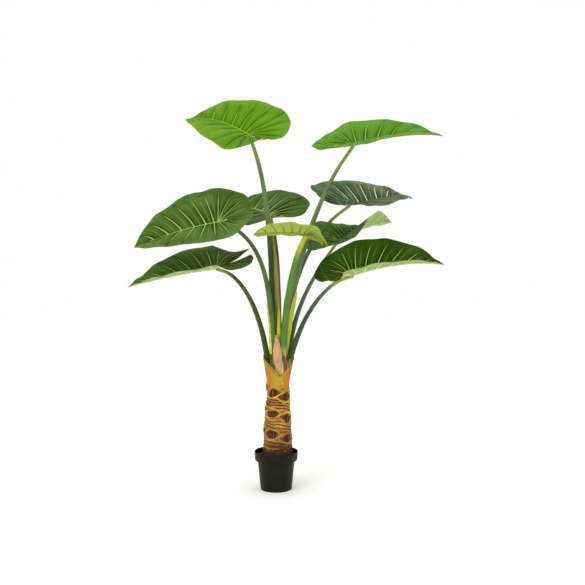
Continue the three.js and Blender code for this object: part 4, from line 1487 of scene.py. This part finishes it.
@dataclass(frozen=True)
class Pot:
    """A plain nursery pot with a wide band round its rim, and the soil in it."""

    height: float = 0.150
    base_radius: float = 0.061
    neck_radius: float = 0.0725
    band_radius: float = 0.083
    rim_radius: float = 0.085
    band_height: float = 0.033
    wall: float = 0.0025
    floor: float = 0.003
    soil_top: float = 0.132
    soil_mound: float = 0.004
    trunk_x: float = 0.005
    trunk_radius: float = 0.052
    soil_gap: float = 0.3 * MM
    crumb: float = 1.6 * MM
    fine_crumb: float = 1.2 * MM
    sides: int = 160
    soil_rows: int = 30
    seed: int = 70
    plastic: PlasticFinish = PlasticFinish()
    earth: SoilFinish = SoilFinish()

    def build(self) -> None:
        """Builds the pot's wall and the soil."""
        self.build_wall()
        self.build_soil()

    def build_wall(self) -> None:
        """Revolves the pot's profile, given as rows of radius, height and the corner's rounding length."""
        band_z, wall = self.height - self.band_height, self.wall
        corners = [
            (0, 1.2 * MM, 1 * MM),
            (self.base_radius - 8 * MM, 1.2 * MM, 1 * MM),
            (self.base_radius - 7 * MM, 0, 0.6 * MM),
            (self.base_radius, 0, 3 * MM),
            (self.neck_radius, band_z, 1.5 * MM),
            (self.band_radius, band_z, 2 * MM),
            (self.rim_radius, self.height, 1.1 * MM),
            (self.rim_radius - wall, self.height, 1.1 * MM),
            (self.band_radius - wall, band_z + wall, 2 * MM),
            (self.neck_radius - wall, band_z + wall, 1.5 * MM),
            (self.base_radius - wall, self.floor, 2 * MM),
            (0, self.floor, 1 * MM),
        ]
        surface = Surface()
        revolve(surface, rounded(np.array(corners), 6), self.sides)
        settle(surface.build("nursery_pot"), self.plastic.material(), ["pot"])

    def build_soil(self) -> None:
        """Builds the soil: a ring of crumbs that rises to the trunk, and plain sides and a plain underside.

        The top runs from the pot's circle to the trunk's, and the crumbs are two layers of noise.
        """
        band_z = self.height - self.band_height
        body = self.wall + self.soil_gap
        turn = np.arange(self.sides) / self.sides
        across = np.linspace(0, 1, self.soil_rows)[:, None]
        angle = 2 * math.pi * turn[None, :]
        outer = self.band_radius - body
        inner_x = self.trunk_x + self.trunk_radius * np.cos(angle)
        inner_y = self.trunk_radius * np.sin(angle)
        x = outer * np.cos(angle) * (1 - across) + inner_x * across
        y = outer * np.sin(angle) * (1 - across) + inner_y * across
        rounds, inwards = np.broadcast_to(turn, x.shape), np.broadcast_to(across, x.shape)
        crumbs = self.crumb * cloud(rounds, inwards, (70, 9), self.seed)
        crumbs = crumbs + self.fine_crumb * cloud(rounds, inwards, (150, 22), self.seed + 1)
        z = self.soil_top + self.soil_mound * across + crumbs * np.sin(math.pi * np.clip(across, 0.02, 0.98))
        floor_z, step_z = self.floor + self.soil_gap, band_z + body
        corners = [(0, floor_z), (self.base_radius - body, floor_z),
                   (self.neck_radius - body, step_z), (outer, step_z)]
        radius, height = np.array(corners).T[..., None]
        sides = np.stack([radius * np.cos(angle), radius * np.sin(angle), height + 0 * angle], -1)
        centre = np.broadcast_to(np.array([self.trunk_x, 0.0, self.soil_top]), sides[:1].shape)
        points = np.concatenate([sides, np.stack([x, y, z], -1), centre])
        surface = Surface()
        uv = (turn[None, :], np.linspace(0, 1, len(points))[:, None])
        surface.add(points, uv, {}, flip=True, wrap=True)
        settle(surface.build("potting_soil"), self.earth.material(), ["soil"])


def rounded(corners: Array, steps: int) -> Array:
    """A profile whose inner corners are rounded by quadratic curves.

    Args:
        corners: Rows of radius, height and the corner's rounding length.
        steps: Points along each rounding.

    Returns:
        The profile's radii and heights.
    """
    points = [corners[:1, :2]]
    for before, here, after in zip(corners[:-2], corners[1:-1], corners[2:]):
        back, on = before[:2] - here[:2], after[:2] - here[:2]
        start = here[:2] + back / np.linalg.norm(back) * min(here[2], 0.45 * np.linalg.norm(back))
        end = here[:2] + on / np.linalg.norm(on) * min(here[2], 0.45 * np.linalg.norm(on))
        t = np.linspace(0, 1, steps)[:, None]
        points.append((1 - t)**2 * start + 2 * t * (1 - t) * here[:2] + t * t * end)
    return np.concatenate([*points, corners[-1:, :2]])


def revolve(surface: Surface, profile: Array, sides: int) -> None:
    """Turns a profile of radii and heights once round the axis.

    Args:
        surface: The surface to add to.
        profile: Rows of radius and height, from the axis round to the axis.
        sides: Steps round the axis.
    """
    turn = np.arange(sides) / sides
    angle = 2 * math.pi * turn[None, :]
    radius, z = profile[:, :1], np.repeat(profile[:, 1:], sides, 1)
    points = np.stack([radius * np.cos(angle), radius * np.sin(angle), z], -1)
    surface.add(points, (turn[None, :], z), {}, flip=True, wrap=True)


# Studio


@dataclass(frozen=True)
class FloorFinish:
    """A matt, nearly white floor."""

    name: str = "studio_floor"
    body: str = "#fdfdfc"
    cloudy: str = "#ffffff"
    rough: float = 0.9
    depth: float = 0.2 * MM

    def material(self) -> bpy.types.Material:
        """Two near whites in soft clouds.

        Returns:
            The material.
        """
        graph = Graph(self.name)
        soft = graph.noise(graph.place(), 3.0, 2.0)
        color = Paint(graph, self.body).covered(self.cloudy, soft.step(0.3, 0.7))
        return graph.finish(color, self.rough, soft, self.depth)


@dataclass(frozen=True)
class Studio:
    """A pale floor, a near-white room, soft lights and the camera."""

    camera_place: tuple[float, float, float] = (0.0637, -4.0, 1.18)
    camera_pitch: float = 5.83
    lens: float = 64.37
    sensor: float = 36.0
    floor_half: float = 5.0
    lamp_aim: tuple[float, float, float] = (0.05, 0.0, 0.85)
    room_light: float = 1.0
    floor: FloorFinish = FloorFinish()

    LAMPS = (
        ("key_lamp", (-1.8, -2.6, 3.0), 1.6, 45.0),
        ("fill_lamp", (2.4, -2.4, 2.2), 2.0, 10.0),
        ("top_lamp", (0.2, 0.3, 3.4), 1.8, 25.0),
    )

    def build(self) -> None:
        """Builds the floor, the room's light, the lamps and the camera."""
        self.build_floor()
        self.build_room()
        for lamp in self.LAMPS:
            self.add_lamp(*lamp)
        self.add_camera()
        log.info("studio: a floor, a room, %d lamps and a camera", len(self.LAMPS))
        bpy.context.scene.view_settings.view_transform = "Standard"

    def build_floor(self) -> None:
        """A pale square under the pot."""
        surface = Surface()
        line = np.linspace(-1, 1, 5) * self.floor_half
        x, y = grid(line, line)
        surface.add(np.stack([x, y, 0 * x], -1), (x, y), {})
        floor = surface.build("studio_floor")
        floor.data.materials.append(self.floor.material())

    def build_room(self) -> None:
        """Fills the room with even, near-white light."""
        world = bpy.data.worlds.new("studio_room")
        world.use_nodes = True
        light = world.node_tree.nodes["Background"].inputs
        light["Color"].default_value = (1.0, 1.0, 1.0, 1.0)
        light["Strength"].default_value = self.room_light
        bpy.context.scene.world = world

    def add_lamp(self, name: str, place: tuple[float, float, float], size: float, power: float) -> None:
        """Adds one square lamp that faces the middle of the plant.

        Args:
            name: The lamp's name.
            place: Where it hangs.
            size: The length of its side.
            power: Its power in watts.
        """
        lamp = bpy.data.lights.new(name, "AREA")
        lamp.shape, lamp.size, lamp.energy = "SQUARE", size, power
        holder = bpy.data.objects.new(name, lamp)
        holder.location = place
        aim = Vector(self.lamp_aim) - Vector(place)
        holder.rotation_euler = aim.to_track_quat("-Z", "Y").to_euler()
        bpy.context.scene.collection.objects.link(holder)

    def add_camera(self) -> None:
        """Adds the camera, a little above the leaves' middle and turned slightly down."""
        camera = bpy.data.objects.new("camera", bpy.data.cameras.new("camera"))
        camera.data.lens, camera.data.sensor_width = self.lens, self.sensor
        camera.location = self.camera_place
        camera.rotation_euler = (math.radians(90 - self.camera_pitch), 0, 0)
        bpy.context.scene.collection.objects.link(camera)
        bpy.context.scene.camera = camera


GREEN_STALK = StalkFinish("green_stalk")
FRESH_STALK = StalkFinish("fresh_stalk", body="#4f6e36", low="#5a7a28", foot="#8a9a2c")
GREY_STALK = StalkFinish("grey_stalk", body="#6a8052", deep="#465a3a", neck="#95a43c", low="#3b4a1e",
                         neck_length=0.10)
NECKED_STALK = StalkFinish("necked_stalk", body="#46603a", neck="#a3ac2c", neck_length=0.09)
OLIVE_STALK = StalkFinish("olive_stalk", body="#4c5c2c", deep="#2c3810", low="#3c4814", foot="#5c6018")
YOUNG_STALK = StalkFinish("young_stalk", "stalk_young", body="#587e3a", deep="#3a5c2c", neck="#c0c020",
                          low="#4c7036", foot="#d2cf86", neck_length=0.08, foot_length=0.08)
STALK_FINISHES = {
    "top_left": GREY_STALK, "top_right": GREY_STALK, "front_young": YOUNG_STALK, "back": GREEN_STALK,
    "middle_left": FRESH_STALK, "lower_left": OLIVE_STALK, "lower_right": NECKED_STALK,
    "right_rear": GREY_STALK, "middle_right": NECKED_STALK,
}
# Each leaf has draws of its own: the first leaf's seed, and the step to the next leaf's
STALK_SEEDS = (100, 10)
BLADE_SEEDS = (200, 20)
# Each sheath: its name, its stalk, its look, the angle it faces, half its angle, and where it starts and ends
SHEATHS = (
    ("tan", "top_left", SheathLook.DRY, -30, 55, 0.08, 0.60, {"stand": 0.018}),
    ("front", "top_left", SheathLook.GREEN, -95, 52, 0.10, 0.62, {"stand": 0.004}),
    ("behind", "back", SheathLook.GREEN, -120, 60, 0.10, 0.66, {"stand": 0.009}),
    ("rear", "back", SheathLook.YELLOW, -95, 85, 0.02, 0.34, {}),
    ("left", "middle_left", SheathLook.YELLOW, -160, 55, 0.13, 0.42, {"stand": 0.002}),
    ("right", "top_right", SheathLook.YELLOW, -35, 75, 0.03, 0.36, {"stand": 0.009}),
    ("spike", "lower_left", SheathLook.GREEN, 180, 50, 0.0, 0.17, {"stand": 0.006}),
    ("torn", "lower_right", SheathLook.GREEN, 150, 85, 0.0, 0.20, {"stand": 0.004, "taper": 9.0}),
)


def main() -> None:
    """Builds every piece in order."""
    logging.basicConfig(level=logging.INFO, format="%(name)s: %(message)s")
    for part in (Studio(), Pot(), Trunk(), DRY_SHEATH, HUSK, WING, LEFT_HUSK, RIGHT_HUSK):
        part.build()
    stalks = {}
    for k, (name, shape) in enumerate(LEAVES.items()):
        stalk_seed, blade_seed = (first + gap * k for first, gap in (STALK_SEEDS, BLADE_SEEDS))
        stalks[name] = LeafStalk(name, shape, STALK_FINISHES[name], seed=stalk_seed)
        stalks[name].build()
        LeafBlade(name, shape, LEAF_FINISHES[name], seed=blade_seed).build()
    for name, stalk, look, facing, half_angle, start, end, rest in SHEATHS:
        Sheath(name, stalks[stalk], look, facing, half_angle, start, end, **rest).build()


if __name__ == "__main__":
    main()
